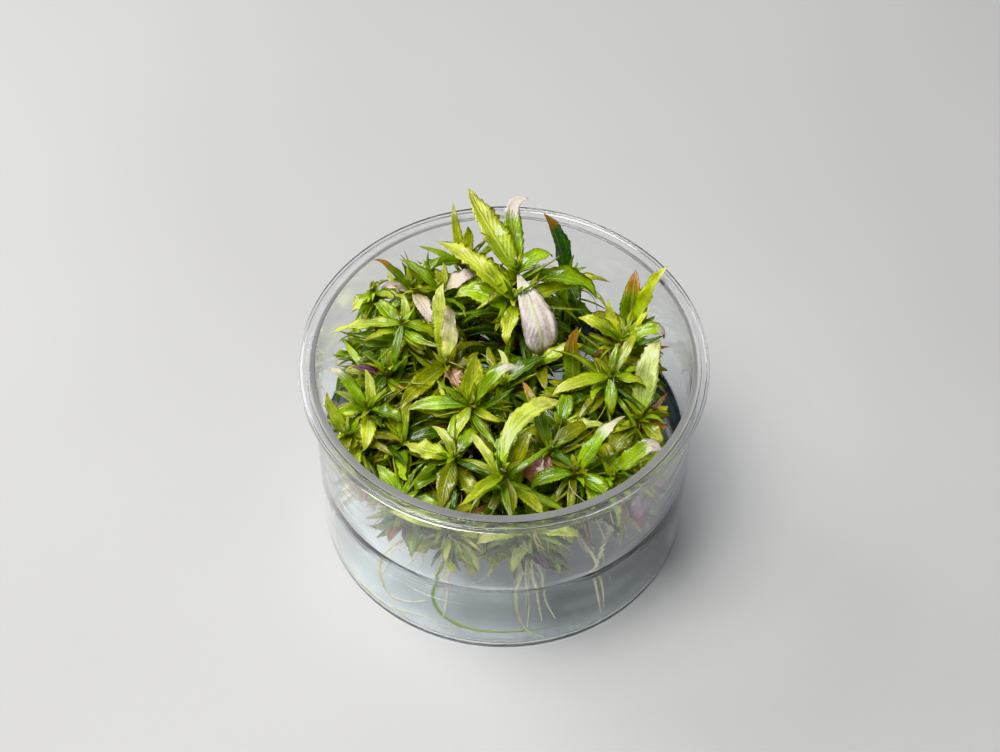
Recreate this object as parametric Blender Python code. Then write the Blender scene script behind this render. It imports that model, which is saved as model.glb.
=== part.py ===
"""A clear tissue-culture cup with pogostemon stellatus growing out of its nutrient gel.

Lengths are in millimetres until a mesh is written, where MM makes them metres. The origin is the
middle of the cup's underside, +Z is up, and the side that is usually looked at faces -Y.
"""

import itertools
import math
from collections import namedtuple

import bmesh
import bpy
import numpy as np
from mathutils.bvhtree import BVHTree

MM = 0.001

# The cup, a thin turned moulding.
RIM_RADIUS = 50.0
CUP_HEIGHT = 58.5
BASE_RADIUS = 46.4
NECK_RADIUS = 47.1
WALL = 1.2
FLOOR = 1.5
CORNER = 1.7
LIP_WIDTH = 2.0
LIP_STEP = 0.4
FLANGE = 0.9
SKIRT_WIDTH = 0.8
SKIRT_DROP = 1.6
EDGE_ROUND = 0.4
TURN_STEPS = 48
CORNER_POINTS = 3
MERGE = 0.00005

# The gel, poured in while warm, so it has a low rim where it wets the wall.
GEL_TOP = 26.5
MENISCUS_RISE = 0.9
MENISCUS_WIDTH = 2.5
GAP = 0.3

# The finishes: the two clear ones are (colour, roughness, alpha).
CLEAR_PLASTIC = ((0.86, 0.88, 0.89), 0.05, 0.3)
CLEAR_GEL = ((0.72, 0.78, 0.80), 0.1, 0.6)
LEAF_ROUGHNESS = 0.35
SHARP_DEGREES = 50

# The shoots.
STEM_RADIUS = 0.8
STEM_SIDES = 5
ROOT_RADIUS = 0.45
SOCKET_DEPTH = 4.0
SOCKET_OVER = 3.0
NODE_HEIGHT = 1.5
BUD_HEIGHT = 2.4
STEM_LEAN = 0.86
LOWER_WHORL = 0.34
CROWN_STEP = 3.2
LEAF_THICKNESS = 0.6
LEAF_FOLD = 0.22
PETIOLE_WIDTH = 1.0
BASE_SPREAD = 1.1
BLADE_FULLNESS = 0.8
HERO_SHARES = (0.14, 0.38, 0.62, 0.84)
SHORT_SHARES = (0.16, 0.46, 0.78)
SHORT_LENGTH = 13.5
PLAIN_SHARES = (0.28, 0.68)
CURVE_STEPS = 40
CROWN_LEAVES = 4
LOWER_LEAVES = 3

# How a leaf gives way to what is already there.
TRIES = 14
HERO_SWING = 3.0
PLAIN_SWING = 9.0
LIFT_SHARE = 0.6
SHORTEN = 0.97
SEED = 41
MOST_REACH = 49.6

# Degrees for azimuth (0 is +X, 90 is +Y), rise at the stem, droop and turn over the whole length.
# wide_at is the share of the length where the blade is widest, and tier counts whorls below the crown's.
Leaf = namedtuple("Leaf", "azimuth rise length droop width colour turn wide_at tier", defaults=(0.0, 0.42, 0))
# crown is the top whorl; root lists the points of the root, from its tip to the foot.
Shoot = namedtuple("Shoot", "name crown leaves root", defaults=((),))

SHOOTS = (
    Shoot("back_tall", (3, 26, 60), (
        Leaf(125, 32, 25, 10, 5.5, "lime"),
        Leaf(95, 40, 24, 5, 5, "rose_tip", tier=1),
        Leaf(28, 46, 12, 70, 5, "green"),
        Leaf(354, 32, 23, 70, 6, "deep", wide_at=0.6, tier=1),
        Leaf(291, 8, 25, 95, 8.5, "mauve", wide_at=0.6),
        Leaf(185, 38, 9, 10, 4, "green", tier=1),
    )),
    Shoot("back_mid", (3, 19, 57), (
        Leaf(147, 40, 27.3, 40, 5, "lime"),
        Leaf(263, 1, 14, 20, 4, "green"),
        Leaf(14, 4, 26, 2, 4.5, "lime"),
        Leaf(160, 35, 17.3, 40, 7, "green", tier=1),
    )),
    Shoot("back_edge_left", (-10, 36, 52), (
        Leaf(109, 46, 19, -25, 2.5, "green", tier=1),
        Leaf(66, 52, 12.5, -40, 3, "green"),
        Leaf(200, 30, 14, 40, 3, "green"),
    )),
    Shoot("back_edge_right", (16, 37, 44), (
        Leaf(138, 80, 23, 15, 5.5, "brown_tip"),
        Leaf(165, 48, 15, 10, 2.5, "pale_green", tier=1),
        Leaf(285, 40, 12, 60, 4, "deep"),
    )),
    Shoot("far_left", (-33, 28, 50), (
        Leaf(221, 8, 10, 40, 5, "lime"),
        Leaf(340, 17, 10, 10, 3, "lime"),
    )),
    Shoot("left_mid", (-25, 13, 56), (
        Leaf(179, 8, 19, 40, 3.5, "lime"),
        Leaf(128, 14, 14, 15, 4, "green", tier=1),
        Leaf(347, 8, 13, 80, 3.5, "lime"),
        Leaf(256, -10, 12, 50, 2.2, "green"),
        Leaf(310, -5, 8, 20, 2.5, "olive", tier=1),
    )),
    Shoot("left_low", (-29, 5, 46), (
        Leaf(172, 8, 13, 25, 3, "olive"),
        Leaf(345, 50, 12, -20, 2.8, "green"),
        Leaf(230, 20, 12, 40, 4, "deep"),
    )),
    Shoot("middle_left", (-14, 6, 48), (
        Leaf(104, 66, 25, 10, 4.5, "lime", tier=1),
        Leaf(73, 66, 20, -15, 4.5, "pale_rose"),
        Leaf(230, 21, 19, 30, 5, "olive"),
        Leaf(275, 10, 11, 30, 6, "rose"),
    )),
    Shoot("upper_left", (-23, 27, 52), (
        Leaf(161, 51, 14, 10, 3, "olive"),
        Leaf(300, 20, 13, 60, 4, "pale_rose"),
    )),
    Shoot("pink_flag", (-16, 25, 54), (
        Leaf(10, 38, 12, 15, 4.5, "pale_rose"),
        Leaf(250, 5, 11, 60, 4, "deep"),
        Leaf(70, 20, 13, 40, 4, "olive"),
    )),
    Shoot("middle", (-8, -9, 52), (
        Leaf(32, 50, 16, 20, 3.5, "pale_tip"),
        Leaf(88, 46, 16, -25, 5.5, "green", tier=1),
        Leaf(180, 12, 16, 30, 4, "green"),
        Leaf(245, -5, 10, 30, 3.5, "green"),
        Leaf(292, 8, 15, 60, 4.5, "olive", tier=1),
    )),
    Shoot("front", (0, -33, 56), (
        Leaf(100, 40, 28, 60, 5, "lime", -100, 0.6),
        Leaf(128, 42, 16, 40, 2.6, "lime", tier=1),
        Leaf(62, 50, 20, 10, 4, "brown_tip", tier=2),
        Leaf(237, 34, 20, 40, 3.5, "brown_tip"),
        Leaf(287, -20, 10, 30, 4, "olive"),
        Leaf(331, -4, 13, 50, 3.6, "green", tier=1),
    )),
    Shoot("red_kite", (11, -21, 49), (
        Leaf(240, -10, 9, 20, 8, "rose"),
        Leaf(40, 30, 14, 50, 4, "olive"),
        Leaf(116, 52, 19.7, 20, 3, "brown_tip"),
    )),
    Shoot("front_right", (17, -28, 50), (
        Leaf(42, 52, 19, 30, 4.5, "pale_tip"),
        Leaf(320, 10, 13, 30, 5, "green"),
        Leaf(190, 10, 12, 40, 4, "green"),
    ), ((24, -36, 6), (23.5, -36, 14), (22, -34, 22))),
    Shoot("front_right_rim", (26, -27, 47), (
        Leaf(18, 58, 17, 30, 4.5, "rose_tip"),
        Leaf(228, 25, 13, 30, 6, "green"),
        Leaf(100, 20, 12, 40, 4, "olive"),
    )),
    Shoot("right_star", (33, -9, 46), (
        Leaf(77, 49, 21, 15, 6, "pale_green"),
        Leaf(230, 5, 13, 30, 6, "olive"),
        Leaf(316, 0, 9, 30, 4, "olive"),
        Leaf(17, 17, 9, 20, 5, "olive"),
        Leaf(276, -5, 11, 30, 5, "olive", tier=1),
    )),
    Shoot("right_mid", (26, -2, 54), (
        Leaf(199, 20, 16, 40, 3.6, "lime"),
        Leaf(350, 9, 10, 30, 3.6, "lime"),
        Leaf(42, 26, 18, 10, 3, "lime"),
        Leaf(271, -10, 10, 50, 3.2, "green"),
        Leaf(115, 35, 9, 30, 3, "olive", tier=1),
    )),
    Shoot("right_back", (29, 9, 54), (
        Leaf(159, 38, 13, 20, 4, "lime"),
        Leaf(112, 48, 13.5, -8, 3.2, "lime", tier=1),
        Leaf(38, 50, 16, -12, 3, "lime", tier=2),
        Leaf(12, 27, 14, 20, 3.5, "rose_tip"),
        Leaf(225, -5, 10, 60, 3, "brown"),
    )),
    Shoot("far_right", (32, 19.5, 46), (
        Leaf(36, 60, 21, -12, 4, "lime"),
        Leaf(80, 50, 18, -20, 5.5, "brown_tip", tier=1),
        Leaf(170, 40, 13, 50, 4, "olive"),
    )),
    Shoot("left_front", (-33, -8, 48), (
        Leaf(137, 46, 16, 20, 3.2, "brown_tip"),
        Leaf(169, 10, 10, 20, 3, "lime"),
        Leaf(342, 30, 10, 60, 4, "green"),
        Leaf(270, 20, 12, 40, 4, "lime"),
    )),
    Shoot("left_wall", (-38, -14, 46), (
        Leaf(132, 40, 13, 20, 3, "lime"),
        Leaf(285, 0, 11, 40, 4.5, "lime"),
        Leaf(345, 17, 17, 20, 3, "olive"),
    ), ((-42, -13, 8), (-41.5, -13.5, 14), (-40, -14, 22))),
    Shoot("front_left_wet", (-12, -22, 48), (
        Leaf(172, 22, 12, 20, 6, "pale_green"),
        Leaf(255, 2, 14, 20, 5, "olive"),
        Leaf(300, 5, 13, 30, 4, "olive", tier=1),
        Leaf(214, 4, 13, 20, 5, "green", tier=1),
        Leaf(60, 30, 12, 50, 3.5, "green"),
    )),
    Shoot("front_left_dark", (-25, -14, 42), (
        Leaf(273, 21, 15, 10, 3, "green"),
        Leaf(205, 30, 9, 20, 3, "lime", tier=1),
        Leaf(20, 30, 12, 50, 4, "deep"),
    )),
    Shoot("right_dark", (17, 0, 46), (
        Leaf(91, 62, 17, 10, 4.5, "olive"),
        Leaf(179, 50, 9, 20, 3, "olive"),
        Leaf(300, 20, 13, 50, 4, "deep"),
    )),
    Shoot("front_left_rim", (-24, -31, 42), (
        Leaf(130, 45, 12, 40, 4, "green"),
    )),
    Shoot("front_low", (3, -20, 41), (
        Leaf(150, 40, 13, 50, 4, "deep"),
        Leaf(20, 40, 12, 50, 4, "deep"),
    )),
    Shoot("front_wall", (7, -39, 43), (
        Leaf(198, 25, 15, 40, 4, "lime"),
        Leaf(350, 20, 14, 40, 4, "lime"),
        Leaf(90, 35, 12, 40, 4, "green"),
    ), ((9, -41, 8), (8, -40.5, 15), (6.5, -37, 22))),
    Shoot("front_wall_left", (-14, -38, 42), (
        Leaf(160, 25, 14, 40, 4, "lime"),
        Leaf(350, 10, 12, 40, 4, "lime"),
        Leaf(80, 40, 12, 40, 4, "deep"),
    ), (
        (14, -39, 4), (7, -40.5, 4), (0, -41, 4), (-8, -40.5, 4.5),
        (-14, -39, 7), (-17, -38, 13), (-15.5, -36, 20),
    )),
    Shoot("right_wall", (33, -22, 42), (
        Leaf(330, 10, 9, 100, 7, "purple"),
        Leaf(200, 30, 12, 40, 4, "deep"),
    )),
    Shoot("middle_back", (8, 8, 45), (
        Leaf(20, 40, 14, 50, 4, "deep"),
        Leaf(200, 40, 14, 50, 4, "deep"),
    )),
    Shoot("centre", (0, 1, 47), (
        Leaf(30, 40, 13, 50, 4, "deep"),
        Leaf(265, 15, 13, 50, 4, "olive"),
    )),
    Shoot("centre_right", (14, -11, 45), (
        Leaf(80, 40, 12, 50, 4, "deep"),
        Leaf(200, 35, 12, 50, 3.5, "green"),
    )),
    Shoot("left_hollow", (-38, 15, 42), (
        Leaf(330, 40, 12, 50, 4, "deep"),
        Leaf(245, 40, 11, 10, 3.5, "green"),
    )),
)

COLOURS = {
    "lime": (0.36, 0.50, 0.03),
    "pale_green": (0.42, 0.52, 0.13),
    "green": (0.11, 0.36, 0.02),
    "deep": (0.03, 0.14, 0.02),
    "olive": (0.20, 0.25, 0.03),
    "pale_tip": (0.40, 0.50, 0.12),
    "rose_tip": (0.40, 0.44, 0.13),
    "pale_rose": (0.55, 0.42, 0.30),
    "mauve": (0.50, 0.36, 0.36),
    "rose": (0.40, 0.18, 0.14),
    "purple": (0.10, 0.04, 0.07),
    "brown": (0.18, 0.08, 0.04),
    "brown_tip": (0.34, 0.36, 0.05),
}
PLAIN_COLOURS = ("green", "deep", "olive", "lime")

# Ranges that the leaves of the mass are drawn from, at the crown and low on the stem.
PlainRange = namedtuple("PlainRange", "rise length odds")
CROWN_RANGE = PlainRange((10, 45), (11, 17), (0.34, 0.32, 0.22, 0.12))
LOW_RANGE = PlainRange((5, 35), (10, 15), (0.24, 0.52, 0.22, 0.02))
PLAIN_DROOP = (10, 50)
PLAIN_WIDTH = (2.6, 4.4)
PLAIN_TURN = 25
AZIMUTH_PLAY = 14


def clear_scene():
    for obj in list(bpy.data.objects):
        bpy.data.objects.remove(obj)


def material(name, colour, roughness, alpha=1.0):
    made = bpy.data.materials.new(name)
    made.use_nodes = True
    shader = made.node_tree.nodes["Principled BSDF"]
    shader.inputs["Base Color"].default_value = (*colour, 1.0)
    shader.inputs["Roughness"].default_value = roughness
    shader.inputs["Metallic"].default_value = 0.0
    shader.inputs["Alpha"].default_value = alpha
    return made


def unit(vector):
    vector = np.array(vector, float)
    return vector / np.linalg.norm(vector)


def arc(centre, radius, start, end):
    """Points of a rounded corner in the (radius, height) plane, between two angles in degrees."""
    angles = np.radians(np.linspace(start, end, CORNER_POINTS))
    return [(centre[0] + radius * math.cos(a), centre[1] + radius * math.sin(a)) for a in angles]


def wall_radius(height):
    """Inner radius of the cup, which opens slightly towards the mouth."""
    share = height / CUP_HEIGHT
    return BASE_RADIUS + (NECK_RADIUS - BASE_RADIUS) * share - WALL


def cup_profile():
    """From the middle of the floor, up the inside, over the lip and flange, and down the outside."""
    inner = wall_radius(0)
    round_in = CORNER - WALL / 2
    flange_top = CUP_HEIGHT - LIP_STEP
    flange_under = flange_top - FLANGE
    lip_out = NECK_RADIUS - WALL + LIP_WIDTH
    skirt_in = RIM_RADIUS - SKIRT_WIDTH
    skirt_foot = flange_top - SKIRT_DROP
    profile = [(0, FLOOR)]
    profile += arc((inner - round_in, FLOOR + round_in), round_in, -90, 0)
    lip_in = NECK_RADIUS - WALL
    profile += [(lip_in, CUP_HEIGHT - EDGE_ROUND), (lip_in + EDGE_ROUND, CUP_HEIGHT)]
    profile += [(lip_out - EDGE_ROUND, CUP_HEIGHT), (lip_out, flange_top)]
    profile += [(RIM_RADIUS - EDGE_ROUND, flange_top), (RIM_RADIUS, flange_top - EDGE_ROUND)]
    profile += [(RIM_RADIUS, skirt_foot), (skirt_in, skirt_foot), (skirt_in, flange_under)]
    profile += [(NECK_RADIUS, flange_under)]
    profile += arc((BASE_RADIUS - CORNER, CORNER), CORNER, 0, -90)
    return profile + [(0, 0)]


def gel_profile():
    """From the middle of the surface, out to where it wets the wall, down the side and back in."""
    edge = wall_radius(GEL_TOP) - GAP
    floor = FLOOR + GAP
    profile = [(0, GEL_TOP), (edge - MENISCUS_WIDTH, GEL_TOP), (edge, GEL_TOP + MENISCUS_RISE)]
    profile += arc((wall_radius(0) - GAP - CORNER, floor + CORNER), CORNER, 0, -90)
    return profile + [(0, floor)]


def turned(name, profile, finish):
    """A profile on the +X side, carried once round the Z axis."""
    mesh = bpy.data.meshes.new(name)
    points = [(radius * MM, 0, height * MM) for radius, height in profile]
    mesh.from_pydata(points, [(i, i + 1) for i in range(len(points) - 1)], [])
    mesh.materials.append(finish)
    obj = bpy.data.objects.new(name, mesh)
    bpy.context.collection.objects.link(obj)
    screw = obj.modifiers.new("Turn", "SCREW")
    screw.steps = screw.render_steps = TURN_STEPS
    screw.use_merge_vertices = True
    screw.merge_threshold = MERGE
    return obj


def lathe_tree(profile):
    """The turned surface as a search tree, for leaves to be tested against."""
    angles = np.linspace(0, 2 * math.pi, TURN_STEPS, endpoint=False)
    rings = [(r * math.cos(a), r * math.sin(a), z) for r, z in profile for a in angles]
    faces = []
    for row in range(len(profile) - 1):
        for step in range(TURN_STEPS):
            after = (step + 1) % TURN_STEPS
            low = row * TURN_STEPS
            faces.append((low + step, low + after, low + TURN_STEPS + after, low + TURN_STEPS + step))
    return BVHTree.FromPolygons(rings, faces)


def leaf_frames(base, leaf, shares):
    """Places and directions along the midrib. Its pitch falls evenly by the droop, and its heading
    swings evenly by the turn."""
    steps = np.linspace(0, 1, CURVE_STEPS + 1)
    pitch = np.radians(leaf.rise - leaf.droop * steps)
    heading = np.radians(leaf.azimuth + leaf.turn * steps)
    flat = np.cos(pitch)
    along = np.stack([flat * np.cos(heading), flat * np.sin(heading), np.sin(pitch)], axis=1)
    walked = np.cumsum((along[1:] + along[:-1]) / 2, axis=0) * leaf.length / CURVE_STEPS
    path = np.vstack([np.zeros(3), walked]) + base
    side = np.stack([-np.sin(heading), np.cos(heading), np.zeros_like(heading)], axis=1)
    above = np.cross(along, side)
    rows = (path, side, above)
    return [np.stack([np.interp(shares, steps, row[:, i]) for i in range(3)], axis=1) for row in rows]


def leaf_width(leaf, shares):
    """Lance-shaped: a narrow stalk end, widest at wide_at, and a taper to the tip. Near the stem it
    is no wider than the wedge between its neighbours."""
    evened = shares ** (math.log(0.5) / math.log(leaf.wide_at))
    blade = leaf.width * np.sin(math.pi * evened) ** BLADE_FULLNESS
    blade = np.minimum(blade, BASE_SPREAD * shares * leaf.length)
    return np.maximum(blade, PETIOLE_WIDTH * (1 - shares))


def leaf_sections(base, leaf, shares, grow=0.0):
    """Four corners at each share of the length (rib below, left edge, rib above, right edge), and
    the tip. The edges stand a little higher than the rib."""
    shares = np.asarray(shares)
    place, side, above = leaf_frames(base, leaf, np.append(shares, 1.0))
    half = leaf_width(leaf, shares)[:, None] / 2
    side, above, tip = side[:-1], above[:-1], place[-1]
    place = place[:-1]
    lift = above * half * LEAF_FOLD
    half = half + grow
    corners = (
        place - above * (LEAF_THICKNESS + grow),
        place + side * half + lift,
        place + above * grow,
        place - side * half + lift,
    )
    return np.stack(corners, axis=1), tip


def sections_tree(rings, tip=None):
    """The closed skin through the rings as a search tree."""
    count, sides = rings.shape[:2]
    points = list(map(tuple, rings.reshape(-1, 3)))
    faces = [tuple(range(sides - 1, -1, -1))]
    for row, k in itertools.product(range(count - 1), range(sides)):
        low, after = row * sides, (k + 1) % sides
        faces.append((low + k, low + after, low + sides + after, low + sides + k))
    last = (count - 1) * sides
    if tip is None:
        faces.append(tuple(range(last, last + sides)))
    else:
        points.append(tuple(tip))
        faces += [(last + k, last + (k + 1) % sides, len(points) - 1) for k in range(sides)]
    return BVHTree.FromPolygons(points, faces)


def tube_rings(path, radii, sides):
    """Rings of points square to a path, turned as little as possible from one to the next."""
    path = np.asarray(path, float)
    along = np.gradient(path, axis=0)
    along /= np.linalg.norm(along, axis=1)[:, None]
    across = np.cross((0.0, 1.0, 0.0), along[0])
    angles = np.linspace(0, 2 * math.pi, sides, endpoint=False)
    rings = []
    for place, heading, radius in zip(path, along, radii):
        across = across - heading * across.dot(heading)
        across /= np.linalg.norm(across)
        other = np.cross(heading, across)
        rings.append([place + radius * (math.cos(a) * across + math.sin(a) * other) for a in angles])
    return np.array(rings)


def whorl_heights(shoot):
    """Heights of the whorls, lowest first: one low on the stem, then those of the crown."""
    top = shoot.crown[2]
    tiers = max(leaf.tier for leaf in shoot.leaves)
    low = GEL_TOP + (top - GEL_TOP) * LOWER_WHORL
    return [low] + [top - CROWN_STEP * tier for tier in range(tiers, -1, -1)]


def stem_point(shoot, height):
    """The stem leans out evenly from its foot at the gel to its crown."""
    crown = np.array(shoot.crown, float)
    foot = np.array([crown[0] * STEM_LEAN, crown[1] * STEM_LEAN, GEL_TOP])
    return foot + (crown - foot) * (height - GEL_TOP) / (crown[2] - GEL_TOP)


def stem_rings(shoot, grow=0.0):
    """Rings from the root's tip to just above the crown, with a pair of rings at each whorl."""
    foot = stem_point(shoot, GEL_TOP)
    root = [np.array(p, float) for p in shoot.root] or [foot - (0, 0, SOCKET_DEPTH)]
    path = root + [foot]
    radii = [ROOT_RADIUS if shoot.root else STEM_RADIUS] * len(root) + [STEM_RADIUS]
    for height in whorl_heights(shoot):
        path += [stem_point(shoot, height - NODE_HEIGHT / 2), stem_point(shoot, height + NODE_HEIGHT / 2)]
        radii += [STEM_RADIUS, STEM_RADIUS]
    return tube_rings(path, np.array(radii) + grow, STEM_SIDES)


def bud_tip(shoot):
    return stem_point(shoot, shoot.crown[2] + NODE_HEIGHT / 2 + BUD_HEIGHT)


def attempt(leaf, number, swing):
    """The same leaf, turned aside, tilted and shortened a little more at each try."""
    way = (number + 1) // 2 * (1 if number % 2 else -1)
    tilt = ((number * 2) % 5 - 2) * LIFT_SHARE * swing if number else 0
    return leaf._replace(
        azimuth=leaf.azimuth + swing * way,
        rise=leaf.rise + tilt,
        length=leaf.length * SHORTEN**number,
    )


def plain_leaf(draw, azimuth, low):
    """A leaf of the mass under the crowns. Low ones are shorter and darker."""
    drawn_from = LOW_RANGE if low else CROWN_RANGE
    return Leaf(
        azimuth + draw.uniform(-AZIMUTH_PLAY, AZIMUTH_PLAY),
        draw.uniform(*drawn_from.rise),
        draw.uniform(*drawn_from.length),
        draw.uniform(*PLAIN_DROOP),
        draw.uniform(*PLAIN_WIDTH),
        str(draw.choice(PLAIN_COLOURS, p=drawn_from.odds)),
        draw.uniform(-PLAIN_TURN, PLAIN_TURN),
    )


def widest_gap(azimuths):
    """The azimuth halfway across the widest gap between those given."""
    around = sorted(a % 360 for a in azimuths)
    gaps = [(after - before) % 360 or 360 for before, after in zip(around, around[1:] + around[:1])]
    best = gaps.index(max(gaps))
    return (around[best] + gaps[best] / 2) % 360


def wanted_leaves(shoot, number):
    """(whorl, leaf, shares, swing) for every leaf a shoot would like to have, the known ones first."""
    draw = np.random.default_rng(SEED + number)
    heights = whorl_heights(shoot)
    top = len(heights) - 1
    known = []
    for leaf in shoot.leaves:
        shares = SHORT_SHARES if leaf.length < SHORT_LENGTH else HERO_SHARES
        known.append((top - leaf.tier, leaf, shares, HERO_SWING))
    plain = []
    taken = [leaf.azimuth for leaf in shoot.leaves]
    while len(taken) < CROWN_LEAVES:
        taken.append(widest_gap(taken))
        plain.append((top, plain_leaf(draw, taken[-1], False), PLAIN_SHARES, PLAIN_SWING))
    start = draw.uniform(0, 360)
    for k in range(LOWER_LEAVES):
        azimuth = start + k * 360 / LOWER_LEAVES
        plain.append((0, plain_leaf(draw, azimuth, True), PLAIN_SHARES, PLAIN_SWING))
    return known, plain


def fits(base, leaf, shares, number, cup, stems, placed):
    """Whether a leaf keeps clear of the cup, the gel, other shoots and its own shoot's other blades."""
    stalk_start = STEM_RADIUS / leaf.length
    rings, tip = leaf_sections(base, leaf, (stalk_start, *shares), GAP)
    corners = np.vstack([rings[1:].reshape(-1, 3), tip])
    if np.hypot(corners[:, 0], corners[:, 1]).max() > MOST_REACH or corners[:, 2].min() < GEL_TOP + 1:
        return False
    whole = sections_tree(rings, tip)
    blade = sections_tree(rings[1:], tip)
    if whole.overlap(cup):
        return False
    for other, stem in enumerate(stems):
        if (blade if other == number else whole).overlap(stem):
            return False
    low, high = corners.min(axis=0), corners.max(axis=0)
    for (least, most), other_whole in placed:
        apart = (low > most).any() or (high < least).any()
        if not apart and whole.overlap(other_whole):
            return False
    return True


def grow_leaves():
    """For each shoot, its leaves as (whorl, leaf, shares). A leaf that finds no clear place is left out."""
    cup = lathe_tree(cup_profile())
    stems = [sections_tree(stem_rings(shoot), bud_tip(shoot)) for shoot in SHOOTS]
    grown = [[] for _ in SHOOTS]
    placed = []
    wishes = [wanted_leaves(shoot, number) for number, shoot in enumerate(SHOOTS)]
    for rank in range(2):
        for number, shoot in enumerate(SHOOTS):
            for whorl, leaf, shares, swing in wishes[number][rank]:
                base = stem_point(shoot, whorl_heights(shoot)[whorl])
                for k in range(TRIES):
                    tried = attempt(leaf, k, swing)
                    if fits(base, tried, shares, number, cup, stems, placed):
                        rings, tip = leaf_sections(base, tried, (STEM_RADIUS / tried.length, *shares))
                        corners = np.vstack([rings.reshape(-1, 3), tip])
                        box = corners.min(axis=0) - GAP, corners.max(axis=0) + GAP
                        placed.append((box, sections_tree(rings, tip)))
                        grown[number].append((whorl, tried, shares))
                        break
    return grown


def sides_for(azimuths, side_azimuths):
    """One side of the stem for each leaf, keeping their order round the stem and turning them least."""
    order = sorted(range(len(azimuths)), key=lambda i: azimuths[i] % 360)
    best = None
    for chosen in itertools.combinations(range(len(side_azimuths)), len(azimuths)):
        for shift in range(len(chosen)):
            pairs = list(zip(order, chosen[shift:] + chosen[:shift]))
            turned_by = [abs((azimuths[i] - side_azimuths[s] + 180) % 360 - 180) for i, s in pairs]
            if best is None or sum(turned_by) < best[0]:
                best = sum(turned_by), pairs
    return dict(best[1])


def extruded(form, face, corners):
    """Extrudes one face and puts the new face's corners where they are given."""
    new = bmesh.ops.extrude_discrete_faces(form, faces=[face])["faces"][0]
    for vert, place in zip(new.verts, corners):
        vert.co = place * MM
    return new


def drawn_to_point(form, face, tip):
    """Extrudes one face to a single point."""
    end = extruded(form, face, [tip] * len(face.verts))
    bmesh.ops.pointmerge(form, verts=list(end.verts), merge_co=tip * MM)


def drawn_tube(form, rings):
    """A tube drawn out ring by ring. Its first end is closed, and its last face is still open to draw on."""
    first = [form.verts.new(place * MM) for place in rings[0]]
    cap = form.faces.new(first)
    levels = [first]
    for ring in rings[1:]:
        cap = extruded(form, cap, ring)
        levels.append(list(cap.verts))
    form.faces.new(first[::-1])
    return cap, levels


def draw_leaf(form, corners, base, leaf, shares, slot):
    """Draws a side face of the stem out into a leaf. corners holds the side's lower right, lower
    left, upper left and upper right corner, as the leaf sees them looking outwards."""
    rings, tip = leaf_sections(base, leaf, shares)
    face = form.faces.get(corners)
    face.material_index = slot
    order = [corners.index(vert) for vert in face.verts]
    for ring in rings:
        face = extruded(form, face, ring[order])
    drawn_to_point(form, face, tip)


def draw_whorl(form, shoot, whorl, below, above, leaves, slots):
    """The leaves of one whorl, each from the side of the stem that suits it best."""
    base = stem_point(shoot, whorl_heights(shoot)[whorl])
    sides = len(below)
    middles = [(below[k].co + below[(k + 1) % sides].co) / 2 for k in range(sides)]
    facing = [math.degrees(math.atan2(m.y - base[1] * MM, m.x - base[0] * MM)) for m in middles]
    chosen = sides_for([leaf.azimuth for leaf, _ in leaves], facing)
    quads = [(below[k], below[(k + 1) % sides], above[(k + 1) % sides], above[k]) for k in range(sides)]
    for number, (leaf, shares) in enumerate(leaves):
        draw_leaf(form, quads[chosen[number]], base, leaf, shares, slots[leaf.colour])


def finish_mesh(form, name, finishes):
    mesh = bpy.data.meshes.new(name)
    form.to_mesh(mesh)
    form.free()
    mesh.shade_smooth()
    mesh.set_sharp_from_angle(angle=math.radians(SHARP_DEGREES))
    for finish in finishes:
        mesh.materials.append(finish)
    obj = bpy.data.objects.new(name, mesh)
    bpy.context.collection.objects.link(obj)
    return obj


def shoot_piece(shoot, leaves, finishes):
    """One shoot in one piece: root, stem, bud, and the leaves drawn out of the stem at each whorl."""
    form = bmesh.new()
    cap, levels = drawn_tube(form, stem_rings(shoot))
    drawn_to_point(form, cap, bud_tip(shoot))
    slots = {colour: slot for slot, colour in enumerate(finishes)}
    first_pair = len(levels) - 2 * len(whorl_heights(shoot))
    for whorl in range(len(whorl_heights(shoot))):
        here = [(leaf, shares) for level, leaf, shares in leaves if level == whorl]
        if here:
            pair = first_pair + 2 * whorl
            draw_whorl(form, shoot, whorl, levels[pair], levels[pair + 1], here, slots)
    return finish_mesh(form, "shoot_" + shoot.name, finishes.values())


def socket_cutter(shoot):
    """The room that a root takes up in the gel, with a little play, open at the surface."""
    foot = stem_point(shoot, GEL_TOP)
    over = stem_point(shoot, GEL_TOP + SOCKET_OVER)
    path = [np.array(p, float) for p in shoot.root] or [foot - (0, 0, SOCKET_DEPTH)]
    path = [path[0] - unit(path[1] - path[0] if shoot.root else (0, 0, 1)) * GAP] + path[1:]
    radii = [ROOT_RADIUS if shoot.root else STEM_RADIUS] * len(path) + [STEM_RADIUS] * 2
    form = bmesh.new()
    drawn_tube(form, tube_rings(path + [foot, over], np.array(radii) + GAP, STEM_SIDES))
    cutter = finish_mesh(form, "socket_" + shoot.name, [])
    cutter.hide_render = True
    cutter.display_type = "WIRE"
    return cutter


def gel_piece(finish):
    """The block of gel, with a socket for each root."""
    gel = turned("gel", gel_profile(), finish)
    sockets = bpy.data.collections.new("sockets")
    for shoot in SHOOTS:
        sockets.objects.link(socket_cutter(shoot))
    cut = gel.modifiers.new("Sockets", "BOOLEAN")
    cut.operation = "DIFFERENCE"
    cut.solver = "EXACT"
    cut.operand_type = "COLLECTION"
    cut.collection = sockets
    return gel


def main():
    clear_scene()
    clear_plastic = material("clear plastic", *CLEAR_PLASTIC)
    clear_gel = material("nutrient gel", *CLEAR_GEL)
    finishes = {name: material("leaf " + name, colour, LEAF_ROUGHNESS) for name, colour in COLOURS.items()}
    turned("cup", cup_profile(), clear_plastic)
    gel_piece(clear_gel)
    for shoot, leaves in zip(SHOOTS, grow_leaves()):
        shoot_piece(shoot, leaves, finishes)


main()
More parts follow.
